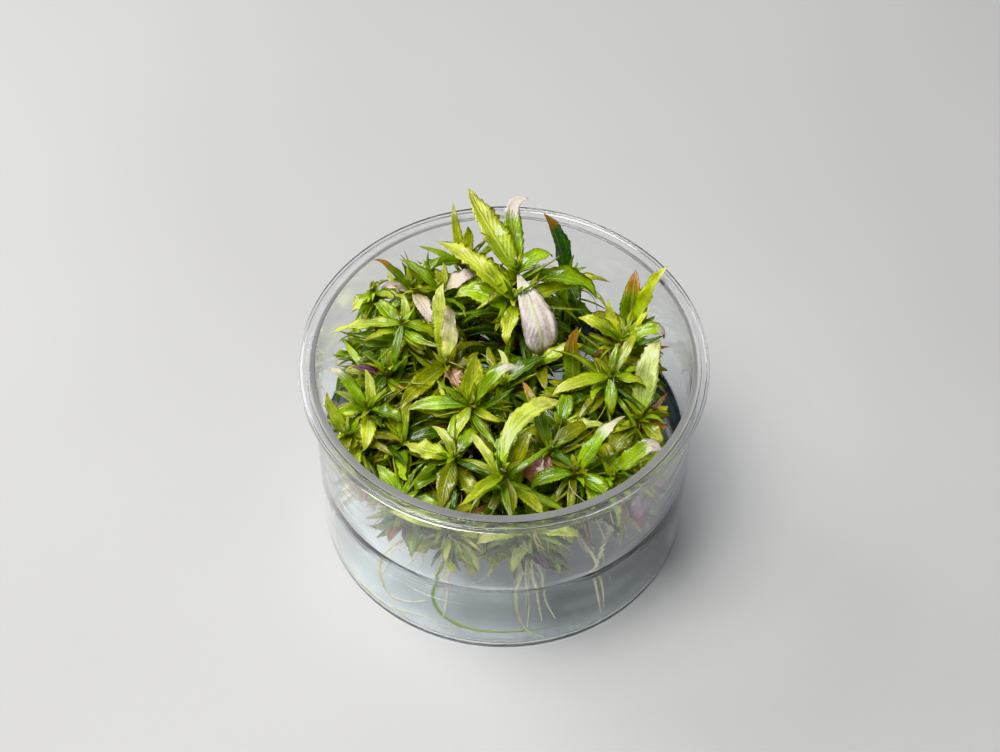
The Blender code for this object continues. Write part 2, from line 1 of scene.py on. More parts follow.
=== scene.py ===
"""Looks of a cup of pogostemon stellatus: the clear cup, the gel, and every shoot leaf by leaf.

Lengths are millimetres in the named values and tables, but for the studio's and the materials', and
MM makes them metres in a mesh. Each packed shoot gives its leaves' midribs and widths, its stem and
its root, and a fine shoot is drawn on those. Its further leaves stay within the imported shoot's box.
"""

import math
from collections import namedtuple

import bpy
import numpy as np
from mathutils.bvhtree import BVHTree
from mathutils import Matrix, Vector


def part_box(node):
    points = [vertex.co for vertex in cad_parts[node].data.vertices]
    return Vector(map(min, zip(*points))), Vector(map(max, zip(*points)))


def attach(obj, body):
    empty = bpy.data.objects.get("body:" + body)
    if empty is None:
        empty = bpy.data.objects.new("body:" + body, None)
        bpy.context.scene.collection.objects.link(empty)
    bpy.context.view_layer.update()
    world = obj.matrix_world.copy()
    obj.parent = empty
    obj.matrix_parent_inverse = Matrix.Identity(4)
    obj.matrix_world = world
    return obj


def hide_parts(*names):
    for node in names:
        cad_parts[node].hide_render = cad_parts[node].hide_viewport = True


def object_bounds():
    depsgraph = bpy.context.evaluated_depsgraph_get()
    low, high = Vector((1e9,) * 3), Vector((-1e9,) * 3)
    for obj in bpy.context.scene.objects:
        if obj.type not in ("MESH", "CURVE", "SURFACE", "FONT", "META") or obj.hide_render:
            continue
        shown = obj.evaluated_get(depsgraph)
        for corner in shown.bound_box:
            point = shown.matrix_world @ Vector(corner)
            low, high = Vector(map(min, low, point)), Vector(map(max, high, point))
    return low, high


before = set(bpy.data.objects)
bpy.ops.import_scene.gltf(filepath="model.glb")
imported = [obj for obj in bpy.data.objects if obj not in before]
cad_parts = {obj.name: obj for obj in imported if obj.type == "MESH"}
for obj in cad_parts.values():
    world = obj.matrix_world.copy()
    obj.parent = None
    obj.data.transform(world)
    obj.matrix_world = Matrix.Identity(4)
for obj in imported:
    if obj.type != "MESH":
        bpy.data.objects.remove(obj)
cad_low, cad_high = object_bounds()

MM = 0.001
TINY = 1e-6
SEED = 7

# The camera, fitted to the rim's and the base's outlines in the 1000 x 752 photograph.
LENS = 93.6
SENSOR = 36.0
CAMERA_ELEVATION = 52.3
CAMERA_DISTANCE = 636.8
CAMERA_TARGET = (-0.95, 0.0, 51.9)
TOWARDS_CAMERA = np.array(
    [0.0, -math.cos(math.radians(CAMERA_ELEVATION)), math.sin(math.radians(CAMERA_ELEVATION))]
)

# The cup. Its height and its rim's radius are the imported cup's.
cup_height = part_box("cup")[1].z / MM
rim_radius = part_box("cup")[1].x / MM
TURN_STEPS = 192
WALL = 1.2
FLOOR = 1.5
CORNER = 1.7
NECK_RADIUS = 47.1
BASE_TAPER = 0.7
LIP_WIDTH = 2.0
LIP_STEP = 0.4
FLANGE = 0.9
SKIRT_WIDTH = 0.8
SKIRT_DROP = 1.6
FOOT_RING = 0.1
FOOT_RING_WIDTH = 2.3
FOOT_RING_SLOPE = 0.6
ROUNDING = 0.25
ROUNDING_SHARE = 0.45
ROUNDING_POINTS = 4
ARC_POINTS = 8
SHARP_DEGREES = 60

# The gel, and how it wets the wall and the stems.
GEL_TOP = 26.5
WET_INTO_WALL = 0.04
MENISCUS_RISE = 0.5
MENISCUS_WIDTH = 2.0
GEL_RINGS = 60
MENISCUS_RINGS = 9
DIMPLE_DEPTH = 0.35
STEM_WETTING = 0.8
STEM_WETTING_REACH = 1.4
TOP_SLACK = 0.01

# How a packed leaf's sections sit along it, by how many rings lead back to the stem.
SECTION_SHARES = {5: (0.14, 0.38, 0.62, 0.84), 4: (0.16, 0.46, 0.78), 3: (0.28, 0.68)}
PLAIN_SECTIONS = 2
MERGE_DIGITS = 6
STEM_RADIUS = 0.75
BUD_RISE = 3.15
ROOT_RADIUS = 0.42

# Leaf sections: places across the blade, from -1 at the left margin to 1 at the right one.
HERO_TOP = (-1.0, -0.66, -0.3, 0.0, 0.3, 0.66, 1.0)
HERO_UNDER = (0.66, 0.3, 0.0, -0.3, -0.66)
FILL_TOP = (-1.0, -0.45, 0.0, 0.45, 1.0)
FILL_UNDER = (0.0,)
HERO_ROWS = 40
PLAIN_ROWS = 25
FILL_ROWS = 10
BLADE_THICKNESS = 0.26
RIB_DEPTH = 0.36
PETIOLE = 0.8

# How a further leaf swells from a stalk to its full width, and how a blade bends and twists.
SWELL_POWER = 0.8
STALK_WIDTH = 0.5
CURL_POWER = 1.5
TWIST_FROM = 0.15
BLUNT_POWER = 0.45
LEAST_LEFT = 0.04

# Teeth: how far a margin stands out at each row of one tooth, and how the teeth differ.
TOOTH_STEPS = (-0.35, 0.35, 1.0)
TOOTH_MEAN = 0.65
TOOTH_SWING = 0.45
TOOTH_BEAT = 2.1
TOOTH_PHASE = 30
TEETH_FROM = (0.22, 0.45)

# The blade's section: the fold along the rib, the ripple of the margins, and the thinning edge.
FOLD_POWER = 1.6
RIPPLES = 3.2
RIPPLE_LAG = 0.37
RIPPLE_FROM = (0.1, 0.4)
EDGE_THINNING = 0.8
EDGE_POWER = 2.5
TIP_THINNING = 6
TIP_THICKNESS = 0.12
RIB_POWER = 0.8
GROOVE_SHARE = 0.35

# A leaf's colour runs from base to tip over the share of its length called over, which starts at
# turns. curl bends its tip down by so many degrees, loose scales its twist and waves, teeth its
# teeth, blunt keeps it wide towards its end, swerve turns its tip to the right by degrees, and
# broad widens all of it.
Look = namedtuple(
    "Look", "base tip under veins turns over curl loose teeth blunt swerve broad",
    defaults=(0.5, 0.05, 0.8, 0, 1.0, 1.0, 0.0, 0, 1.0),
)
LOOKS = {
    "lime": Look((0.25, 0.36, 0.012), (0.50, 0.55, 0.050), (0.42, 0.46, 0.10)),
    "jagged": Look(
        (0.27, 0.38, 0.014), (0.52, 0.56, 0.070), (0.42, 0.46, 0.10), 0.6, loose=0.6, teeth=2.2,
        broad=1.2,
    ),
    "strap": Look(
        (0.34, 0.46, 0.020), (0.56, 0.62, 0.110), (0.54, 0.58, 0.22), 0.6, loose=1.2, blunt=0.4
    ),
    "pale_strap": Look((0.62, 0.66, 0.140), (0.90, 0.80, 0.620), (0.86, 0.80, 0.52), 0.5, blunt=0.3),
    "bright": Look((0.17, 0.35, 0.008), (0.34, 0.48, 0.022), (0.30, 0.39, 0.08)),
    "pale_green": Look((0.30, 0.42, 0.060), (0.54, 0.60, 0.200), (0.50, 0.54, 0.26), blunt=0.4),
    "green": Look((0.10, 0.205, 0.006), (0.23, 0.36, 0.013), (0.21, 0.29, 0.06)),
    "deep": Look((0.032, 0.085, 0.005), (0.075, 0.165, 0.009), (0.09, 0.15, 0.035)),
    "olive": Look((0.15, 0.19, 0.008), (0.30, 0.31, 0.018), (0.26, 0.26, 0.07)),
    "pale_tip": Look(
        (0.24, 0.40, 0.012), (0.72, 0.68, 0.48), (0.50, 0.54, 0.26), 0.4, 0.60, 0.22, 35, blunt=0.6
    ),
    "rose_tip": Look(
        (0.26, 0.38, 0.014), (0.72, 0.57, 0.54), (0.62, 0.50, 0.44), 0.4, 0.56, 0.22, 40, blunt=0.6
    ),
    "white_curl": Look(
        (0.28, 0.44, 0.014), (0.80, 0.70, 0.62), (0.80, 0.68, 0.62), 0.4, 0.66, 0.16, 30, 0.6,
        blunt=0.3, swerve=100
    ),
    "pale_rose": Look(
        (0.56, 0.52, 0.260), (0.78, 0.62, 0.58), (0.76, 0.60, 0.54), 0.6, curl=20, loose=0.8, blunt=0.3
    ),
    "mauve": Look(
        (0.80, 0.74, 0.600), (0.80, 0.68, 0.67), (0.80, 0.66, 0.66), 1.0, loose=0.1, teeth=0.1, blunt=0.5
    ),
    "rose": Look((0.40, 0.28, 0.150), (0.56, 0.30, 0.250), (0.56, 0.34, 0.28), broad=1.3),
    "kite": Look(
        (0.44, 0.21, 0.180), (0.42, 0.20, 0.080), (0.42, 0.22, 0.16), 0.25, 0.5, 0.4, 0, 0.4, broad=1.7
    ),
    "purple": Look((0.12, 0.05, 0.090), (0.17, 0.06, 0.150), (0.15, 0.06, 0.11)),
    "husk": Look((0.34, 0.22, 0.160), (0.46, 0.30, 0.220), (0.44, 0.30, 0.22), 0.3, loose=1.4),
    "brown": Look((0.18, 0.085, 0.025), (0.24, 0.09, 0.030), (0.18, 0.08, 0.04)),
    "brown_tip": Look((0.14, 0.22, 0.010), (0.42, 0.18, 0.030), (0.30, 0.24, 0.07), 0.5, 0.50, 0.35, 15),
    "ember": Look((0.30, 0.10, 0.012), (0.50, 0.13, 0.020), (0.40, 0.14, 0.03)),
    "ember_tip": Look(
        (0.025, 0.090, 0.007), (0.44, 0.17, 0.025), (0.20, 0.20, 0.05), 0.4, 0.70, 0.16, 0, 0.5
    ),
}

# The looks of each shoot's known leaves, by the azimuth they leave the stem at.
KNOWN = {
    "back_tall": {125: "jagged", 95: "white_curl", 28: "bright", 354: "green", 291: "mauve", 185: "lime"},
    "back_mid": {147: "jagged", 263: "lime", 14: "lime", 160: "bright"},
    "back_edge_left": {109: "lime", 66: "lime", 200: "green"},
    "back_edge_right": {138: "ember_tip", 165: "pale_rose", 285: "deep"},
    "far_left": {221: "lime", 340: "lime"},
    "left_mid": {179: "lime", 128: "bright", 347: "lime", 256: "green", 310: "olive"},
    "left_low": {172: "olive", 345: "bright", 230: "deep"},
    "left_hollow": {330: "deep", 245: "green"},
    "middle_left": {104: "strap", 73: "pale_strap", 230: "olive", 275: "rose"},
    "upper_left": {161: "brown_tip", 300: "pale_rose"},
    "pink_flag": {10: "pale_rose", 250: "deep", 70: "olive"},
    "middle": {32: "pale_tip", 88: "jagged", 180: "bright", 245: "lime", 292: "olive"},
    "front": {100: "strap", 128: "strap", 62: "olive", 237: "lime", 287: "olive", 331: "lime"},
    "red_kite": {240: "kite", 40: "olive", 116: "brown_tip"},
    "front_right": {42: "pale_tip", 320: "bright", 190: "green"},
    "front_right_rim": {18: "rose_tip", 228: "bright", 100: "olive"},
    "right_star": {77: "pale_green", 230: "olive", 316: "olive", 17: "olive", 276: "olive"},
    "right_mid": {199: "lime", 350: "lime", 42: "lime", 271: "bright", 115: "olive"},
    "right_back": {159: "lime", 112: "lime", 38: "lime", 12: "rose_tip", 225: "brown"},
    "far_right": {36: "lime", 80: "brown_tip", 170: "olive"},
    "left_front": {137: "pale_tip", 169: "lime", 342: "green", 270: "lime"},
    "left_wall": {132: "lime", 285: "lime", 345: "olive"},
    "front_left_wet": {172: "strap", 255: "olive", 300: "olive", 214: "green", 60: "green"},
    "front_left_dark": {273: "bright", 205: "lime", 20: "deep"},
    "right_dark": {91: "brown_tip", 179: "olive", 300: "deep"},
    "front_wall": {198: "lime", 350: "lime", 90: "green"},
    "front_wall_left": {160: "lime", 350: "lime", 80: "deep"},
    "right_wall": {330: "purple", 200: "deep"},
}
MATCH_DEGREES = 30

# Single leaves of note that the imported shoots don't have, many of them dead or dark ones. share is
# how far up the stem one grows, and width is its full width.
Extra = namedtuple("Extra", "share azimuth rise length width droop turn look")
EXTRAS = {
    "left_low": (
        (0.90, 178, 42, 10.5, 3.0, 30, 0, "purple"), (0.95, 75, 68, 14.0, 3.0, 80, -40, "lime"),
    ),
    "right_back": (
        (0.90, 134, 43, 12.6, 2.4, 20, 20, "brown"), (0.90, 179, 10, 8.5, 2.2, 90, 0, "brown"),
        (0.80, 350, 26, 15.0, 2.0, 30, 30, "brown"), (0.70, 160, 25, 16.0, 3.4, 50, -20, "deep"),
    ),
    "middle": (
        (0.85, 169, 32, 8.0, 3.2, 30, 0, "brown_tip"), (0.70, 249, 25, 10.0, 1.8, 90, 80, "rose"),
    ),
    "centre": (
        (0.95, 264, 20, 12.0, 2.6, 90, 20, "brown"), (0.85, 250, 10, 9.0, 2.0, 80, -40, "brown"),
        (1.00, 68, 62, 11.0, 1.8, 90, 60, "pale_green"),
    ),
    "right_star": (
        (0.90, 30, 32, 14.0, 2.6, 20, 20, "brown"), (0.80, 15, 28, 13.0, 2.4, 20, -30, "rose"),
        (0.75, 352, 24, 15.0, 4.0, 30, 20, "ember"), (0.55, 25, 20, 17.0, 4.4, 30, 30, "deep"),
        (0.60, 330, 20, 16.0, 4.2, 30, -20, "olive"),
    ),
    "front_left_dark": (
        (0.95, 161, 30, 15.0, 3.2, 25, -20, "pale_rose"), (0.95, 95, 66, 14.0, 3.2, 80, -30, "lime"),
    ),
    "left_wall": (
        (0.40, 290, 10, 13.0, 4.0, 40, -40, "brown"), (0.25, 268, 5, 15.0, 5.0, 30, 30, "husk"),
        (0.55, 250, 5, 10.0, 4.0, 60, 40, "husk"),
    ),
    "front_left_rim": (
        (0.40, 200, 15, 9.0, 4.0, 40, 60, "brown"), (0.30, 240, 10, 8.0, 3.5, 30, 50, "purple"),
    ),
    "right_wall": (
        (0.85, 285, -3, 12.0, 5.0, 60, -60, "purple"), (0.50, 300, -5, 14.0, 6.0, 40, -30, "purple"),
        (0.35, 270, 0, 12.0, 5.5, 40, 40, "husk"), (0.65, 322, 0, 12.0, 5.0, 60, 20, "brown"),
    ),
    "upper_left": ((0.95, 145, 30, 9.0, 2.8, 60, 40, "pale_rose"),),
    "back_edge_right": (
        (0.90, 268, 40, 17.0, 3.4, 60, -20, "green"), (0.75, 290, 45, 18.0, 3.6, 60, 20, "deep"),
        (0.55, 250, 40, 16.0, 3.4, 40, 30, "deep"),
    ),
    "middle_back": (
        (0.95, 48, 40, 16.0, 3.4, 50, 20, "deep"), (0.70, 30, 35, 17.0, 3.6, 40, 30, "deep"),
    ),
    "right_dark": (
        (0.90, 72, 45, 19.0, 3.4, 50, 20, "green"), (0.70, 95, 40, 18.0, 3.6, 50, -20, "deep"),
        (0.90, 40, 66, 15.0, 3.2, 80, -40, "lime"),
    ),
    "back_mid": ((0.60, 330, 20, 17.0, 3.6, 60, 10, "deep"),),
    "far_right": (
        (0.55, 10, 15, 13.0, 3.6, 30, -30, "brown"), (0.70, 330, 20, 15.0, 3.6, 40, 30, "deep"),
        (0.90, 230, 66, 14.0, 3.2, 80, 40, "lime"),
    ),
    "left_front": (
        (0.60, 200, 15, 12.0, 3.6, 30, 20, "deep"), (0.50, 160, 20, 13.0, 3.8, 30, -20, "olive"),
        (0.95, 75, 66, 15.0, 3.4, 70, 40, "lime"),
    ),
    "front_wall": (
        (0.30, 285, 8, 8.0, 3.6, 40, 40, "purple"), (0.45, 250, 10, 9.0, 3.4, 60, -50, "lime"),
        (0.65, 225, 10, 12.0, 3.8, 60, 30, "strap"), (0.35, 200, 5, 12.0, 3.6, 40, 20, "lime"),
    ),
    "front_wall_left": (
        (0.40, 260, 10, 9.0, 3.6, 60, 40, "lime"), (0.60, 305, 8, 12.0, 3.8, 70, 30, "strap"),
        (0.75, 275, 15, 12.0, 3.4, 80, -20, "strap"), (0.50, 345, 5, 13.0, 3.8, 50, -20, "bright"),
    ),
    "left_mid": ((0.95, 60, 70, 13.0, 3.4, 70, 60, "strap"),),
    "front_left_wet": ((0.95, 110, 66, 15.0, 3.4, 90, 30, "strap"),),
    "centre_right": ((0.95, 330, 62, 13.0, 3.4, 80, 40, "strap"),),
}

# The looks that a leaf without one of its own is drawn from, with their odds.
CROWN_LOOKS = (
    ("green", 0.28), ("lime", 0.26), ("bright", 0.18), ("olive", 0.16), ("deep", 0.09),
    ("brown_tip", 0.03),
)
LOW_LOOKS = (("deep", 0.34), ("green", 0.30), ("olive", 0.14), ("bright", 0.14), ("brown", 0.08))

# The further leaves of each whorl: how far up the stem it grows, how many leaves it has, and the
# ranges that they are drawn from.
Whorl = namedtuple("Whorl", "share count rise length width droop looks")
FILL_WHORLS = (
    Whorl(0.14, 6, (5, 40), (12, 21), (2.2, 4.2), (10, 50), LOW_LOOKS),
    Whorl(0.44, 7, (0, 45), (13, 23), (1.8, 3.8), (20, 80), LOW_LOOKS),
    Whorl(0.62, 7, (5, 50), (12, 22), (1.6, 3.2), (20, 90), LOW_LOOKS),
    Whorl(0.72, 5, (25, 75), (13, 24), (0.7, 1.3), (50, 150), CROWN_LOOKS),
    Whorl(0.78, 7, (10, 55), (10, 20), (1.4, 2.8), (20, 100), CROWN_LOOKS),
    Whorl(0.91, 6, (20, 60), (8, 17), (1.3, 2.6), (10, 100), CROWN_LOOKS),
    Whorl(1.00, 4, (45, 72), (4, 9), (1.0, 1.9), (-10, 60), CROWN_LOOKS),
    Whorl(1.06, 4, (60, 82), (2.5, 4.5), (0.8, 1.3), (-20, 20), (("pale_tip", 0.5), ("lime", 0.5))),
)

# How dark the painted shade under the canopy makes the lowest of them, how far they turn and shift, and
# the room that they keep.
LOW_SHADE = 0.4
FILL_TURN = 75
FILL_TWIST = 70
AZIMUTH_PLAY = 32
HEIGHT_PLAY = 1.4
CROWN_STILLNESS = 4
GOLDEN_ANGLE = 137.5
WALL_CLEARANCE = 0.6
GEL_CLEARANCE = 0.6
BOX_PLAY = 0.3
TOP_PLAY = 0.4
FILL_SCALES = np.linspace(1, 0.3, 15)
TURNED_ASIDE = (0, 24, -24, 48, -48, 72)
CLEAR_FROM = 0.3

# Leaves of these looks stay in sight of the camera: no further leaf lies over them.
IN_SIGHT = ("rose", "kite", "purple", "mauve", "white_curl", "pale_strap", "pale_rose", "ember")
SIGHT_STEPS = np.arange(1.2, 15, 1.2)

# How packed blades bend, swerve and twist, in degrees, and where along them that starts.
CURLS = (-25, 70)
SWERVES = (-30, 30)
TWISTS = (-40, 40)
CURL_STARTS = (0.40, 0.70)

# The ranges of fold, ripple and teeth, as shares of the half width.
PACKED_STYLE = ((0.15, 0.65), (0.06, 0.28), (0.08, 0.20))
EXTRA_STYLE = ((0.1, 0.7), (0.1, 0.3), (0.0, 0.2))
FILL_STYLE = ((0.1, 1.0), (0.0, 0.32), (0.0, 0.18))

# How one leaf's colours differ from the next one's, and how few have browned far.
SHADE_PLAY = (0.8, 1.15)
TURNS_PLAY = (-0.05, 0.1)
BROWNED_POWER = 3

# The stem: its colours at the gel and at the bud, and its nodes as shares of its length.
STEM_LOW = np.array((0.20, 0.13, 0.03))
STEM_HIGH = np.array((0.16, 0.20, 0.03))
STEM_ROWS = 26
STEM_SIDES = 10
STEM_END = 0.985
STEM_NODES = (0.17, 0.3, 0.45, 0.62, 0.78, 0.9)
NODE_LENGTH = 0.022
NODE_SWELL = 0.28
STEM_TAPER = 0.75
STEM_TAPER_FROM = 0.86
STEM_SHADES = (0.7, 1.2)

# Air threads: the ranges of how many a shoot has, how far up they grow, and their form.
THREAD_COUNT = (5, 9)
THREAD_SHARES = (0.15, 0.95)
THREAD_RISE = (20, 75)
THREAD_LENGTH = (7, 18)
THREAD_DROOP = (60, 170)
THREAD_TURN = (-120, 120)
THREAD_RADIUS = (0.13, 0.24)
THREAD_TAPER = 0.45
THREAD_ROWS = 16
THREAD_SIDES = 5
THREAD_TINTS = ((0.42, 0.34, 0.16), (0.26, 0.14, 0.06), (0.36, 0.40, 0.06), (0.50, 0.46, 0.24))

# Roots: the ranges of how many fine ones a shoot has, how far they spread and how deep they go.
ROOT_TINT = (0.80, 0.76, 0.50)
GREEN_ROOT = (0.30, 0.42, 0.05)
GREEN_ROOTED = ("front_wall_left",)
FINE_COUNT = (4, 8)
FINE_SPREAD = (-1.2, 1.2)
FINE_REACH = (2, 12)
FINE_DEPTH = (8, 20)
FINE_WANDER = (-1.5, 1.5)
FINE_STEPS = (0.35, 0.7, 1.0)
FINE_RADIUS = (0.2, 0.36)
ROOT_START = (0, 0, 1.0)
ROOT_ROWS = 40
FINE_ROWS = 24
LONG_ROWS = 50
ROOT_SIDES = 7
ROOT_TAPER = 0.6
ROOT_SHADES = (0.8, 1.1)

# Long roots that run along the wall, by the shoot they leave.
LONG_ROOTS = {
    "left_wall": (
        (-41.2, -17.0, 12.0), (-39.5, -20.5, 5.0), (-34.0, -28.5, 3.2), (-27.0, -35.3, 4.0),
        (-20.0, -39.6, 7.0), (-13.0, -42.0, 5.0),
    ),
    "front_left_rim": (
        (-30.0, -32.0, 16.0), (-27.5, -34.8, 9.0), (-23.0, -37.8, 10.5), (-19.0, -39.8, 14.0),
    ),
    "far_left": ((-43.6, -5.0, 21.0), (-43.0, -9.5, 14.0), (-42.6, -11.5, 17.5), (-41.6, -14.5, 8.0)),
    "front_wall": ((3.0, -43.2, 20.0), (3.6, -43.4, 12.0), (6.5, -43.0, 5.0), (9.5, -42.4, 2.6)),
    "right_wall": ((22.0, -37.0, 18.0), (22.8, -37.6, 11.0), (23.6, -37.0, 4.0)),
}

# The direction a tube's first corner is square to, besides the tube's own.
FIRST_ACROSS = (0.31, 0.95, 0.0)

# The studio, in metres: each lamp's place, power, side and colour, the point that all lamps face,
# half the floor's side, and the room's own light.
LAMPS = {
    "key": ((-0.22, -0.10, 0.78), 7.5, 0.40, (1.0, 0.98, 0.95)),
    "back": ((-0.62, 0.42, 0.42), 4.5, 0.40, (1.0, 1.0, 1.0)),
    "fill": ((0.60, -0.50, 0.35), 1.5, 0.50, (0.95, 0.98, 1.0)),
}
LAMP_TARGET = (0, 0, 0.04)
GROUND_HALF = 6.0
ROOM_COLOUR = (0.78, 0.82, 0.86, 1)
ROOM_STRENGTH = 0.22

# Colours that are mixed into the tints. PALE_GREEN pales the ribs and veins, and also paints the whitish
# sheen streaks on the leaves.
PALE_GREEN = (0.58, 0.68, 0.26, 1)
BROWNED_LEAF = (0.16, 0.07, 0.02, 1)
BROWNED_STEM = (0.12, 0.05, 0.02, 1)
TANNED_ROOT = (0.34, 0.26, 0.10, 1)

# The slots of a shoot's mesh.
LEAF, STEM, ROOT = range(3)


def unit(vectors):
    return vectors / np.maximum(np.linalg.norm(vectors, axis=-1, keepdims=True), 1e-12)


def smoothstep(low, high, x):
    t = np.clip((x - low) / (high - low), 0, 1)
    return t * t * (3 - 2 * t)


def wall_radius(height):
    """Inner radius of the cup in millimetres, which opens evenly from the base to the neck."""
    base = NECK_RADIUS - BASE_TAPER
    return base + BASE_TAPER * height / cup_height - WALL


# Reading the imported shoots

CadLeaf = namedtuple("CadLeaf", "base places sides aboves widths shares tip heading")
CadShoot = namedtuple("CadShoot", "name foot bud root leaves box")


def welded(node):
    """The node's corners with doubles merged, and for each corner the set of corners it is joined to."""
    mesh = node.data
    places = np.empty(len(mesh.vertices) * 3)
    mesh.vertices.foreach_get("co", places)
    corners, index = np.unique(
        np.round(places.reshape(-1, 3), MERGE_DIGITS), axis=0, return_inverse=True
    )
    loops = np.empty(len(mesh.loops), int)
    mesh.loops.foreach_get("vertex_index", loops)
    joined = [set() for _ in corners]
    for triangle in index.reshape(-1)[loops].reshape(-1, 3).tolist():
        for corner in triangle:
            joined[corner].update(triangle)
    for corner, others in enumerate(joined):
        others.discard(corner)
    return corners / MM, joined


def rings_back(first, joined, size, gone):
    """Rings of a given size, each next to the last, walking away from a first ring and what is
    gone."""
    rings = [set(first)]
    seen = rings[0] | gone
    while True:
        following = set().union(*(joined[corner] for corner in rings[-1])) - seen
        if len(following) != size:
            return rings
        rings.append(following)
        seen |= following


def section(corners, joined, ring):
    """Rib place, side direction, upward direction and width of one four-cornered leaf section."""
    ring = sorted(ring)
    across = next(c for c in ring[1:] if c not in joined[ring[0]])
    others = [c for c in ring[1:] if c != across]
    pairs = sorted(
        ((ring[0], across), tuple(others)),
        key=lambda pair: np.linalg.norm(corners[pair[0]] - corners[pair[1]]),
    )
    (rib_a, rib_b), (edge_a, edge_b) = pairs
    middle = (corners[edge_a] + corners[edge_b]) / 2
    rib_a, rib_b = sorted((rib_a, rib_b), key=lambda c: np.linalg.norm(corners[c] - middle))
    above = unit(corners[rib_a] - corners[rib_b])
    side = unit(corners[edge_a] - corners[edge_b])
    return corners[rib_a], side, above, np.linalg.norm(corners[edge_a] - corners[edge_b])


def cad_leaf(corners, joined, tip, rings):
    """A packed leaf from the stem outwards. Its sides point left as seen looking along it."""
    sections = [section(corners, joined, ring) for ring in rings[-2::-1]]
    places, sides, aboves = (np.array([s[k] for s in sections]) for k in range(3))
    base = corners[list(rings[-1])].mean(axis=0)
    along = unit(np.diff(np.vstack([base, places]), axis=0))
    flipped = np.einsum("ij,ij->i", sides, np.cross(aboves, along)) < 0
    sides[flipped] *= -1
    heading = math.degrees(math.atan2(-sides[0][0], sides[0][1])) % 360
    return CadLeaf(
        base, places, sides, aboves, np.array([s[3] for s in sections]),
        np.array(SECTION_SHARES[len(rings)]), corners[tip], heading,
    )


def read_shoot(name):
    """The leaves, stem and root of a packed shoot. A leaf's tip is joined to one ring of four, with
    further rings of four behind it, and the ring next to the gel leads down to the root."""
    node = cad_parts["shoot_" + name]
    corners, joined = welded(node)
    leaves, leaf_corners = [], set()
    for corner, others in enumerate(joined):
        if len(others) != 4:
            continue
        rings = rings_back(others, joined, 4, {corner})
        if len(rings) in SECTION_SHARES:
            leaves.append(cad_leaf(corners, joined, corner, rings))
            leaf_corners |= {corner}.union(*rings[:-1])
    stem = [c for c in range(len(corners)) if c not in leaf_corners]
    bud = corners[max(stem, key=lambda c: corners[c][2])]
    foot_ring = {c for c in stem if abs(corners[c][2] - GEL_TOP) < STEM_RADIUS}
    over = {c for c in stem if corners[c][2] > GEL_TOP} - foot_ring
    rings = rings_back(foot_ring, joined, len(foot_ring), leaf_corners | over)
    path = np.array([corners[list(ring)].mean(axis=0) for ring in rings])
    low, high = (np.array(corner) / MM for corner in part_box("shoot_" + name))
    return CadShoot(name, path[0], bud, path[1:], leaves, (low, high))


# Leaf surfaces

Paths = namedtuple("Paths", "places sides aboves half")


def picked(rows, which):
    """The chosen entries of every field of a Paths or a Style."""
    return type(rows)(*(values[which] for values in rows))


def through(shares, values, at):
    """A cubic through values at the given shares, with slopes from each value's neighbours."""
    slopes = np.gradient(values, shares, axis=0)
    step = np.clip(np.searchsorted(shares, at, side="right") - 1, 0, len(shares) - 2)
    span = (shares[step + 1] - shares[step])[:, None]
    t = ((at - shares[step]) / span[:, 0])[:, None]
    return (
        values[step] * (2 * t**3 - 3 * t**2 + 1)
        + slopes[step] * span * (t**3 - 2 * t**2 + t)
        + values[step + 1] * (3 * t**2 - 2 * t**3)
        + slopes[step + 1] * span * (t**3 - t**2)
    )


def packed_paths(leaves, rows):
    """Midrib places, frames and half widths of packed leaves, at evenly spaced shares of the length."""
    at = np.linspace(0, 1, rows)
    found = []
    for leaf in leaves:
        shares = np.array([0.0, *leaf.shares, 1.0])
        places = through(shares, np.vstack([leaf.base, leaf.places, leaf.tip]), at)
        sides = through(shares, np.vstack([leaf.sides[0], leaf.sides, leaf.sides[-1]]), at)
        aboves = through(shares, np.vstack([leaf.aboves[0], leaf.aboves, leaf.aboves[-1]]), at)
        widths = np.array([PETIOLE, *leaf.widths, 0.0])[:, None]
        half = np.maximum(through(shares, widths, at)[:, 0], 0) / 2
        found.append((places, unit(sides), unit(aboves), half))
    return Paths(*(np.array(rows_of) for rows_of in zip(*found)))


def grown_paths(base, azimuth, rise, length, width, droop, turn, rows):
    """Midribs of further leaves, one per entry: the pitch falls evenly by the droop, the heading
    swings evenly by the turn, and the places are their running sum. The width is a half sine of the
    length, and never less than the stalk's."""
    at = np.linspace(0, 1, rows)
    pitch = np.radians(rise[:, None] - droop[:, None] * at)
    heading = np.radians(azimuth[:, None] + turn[:, None] * at)
    along = np.stack(
        [np.cos(pitch) * np.cos(heading), np.cos(pitch) * np.sin(heading), np.sin(pitch)], axis=-1
    )
    step = (length / (rows - 1))[:, None, None]
    walked = np.cumsum((along[:, 1:] + along[:, :-1]) / 2, axis=1) * step
    places = np.concatenate([np.zeros_like(walked[:, :1]), walked], axis=1) + base[:, None, :]
    sides = np.stack([-np.sin(heading), np.cos(heading), np.zeros_like(heading)], axis=-1)
    swell = np.sin(math.pi * at**SWELL_POWER) ** SWELL_POWER
    half = np.maximum(width[:, None] * swell, STALK_WIDTH * (1 - at)) / 2
    half[:, -1] = 0
    return Paths(places, sides, np.cross(along, sides), half)


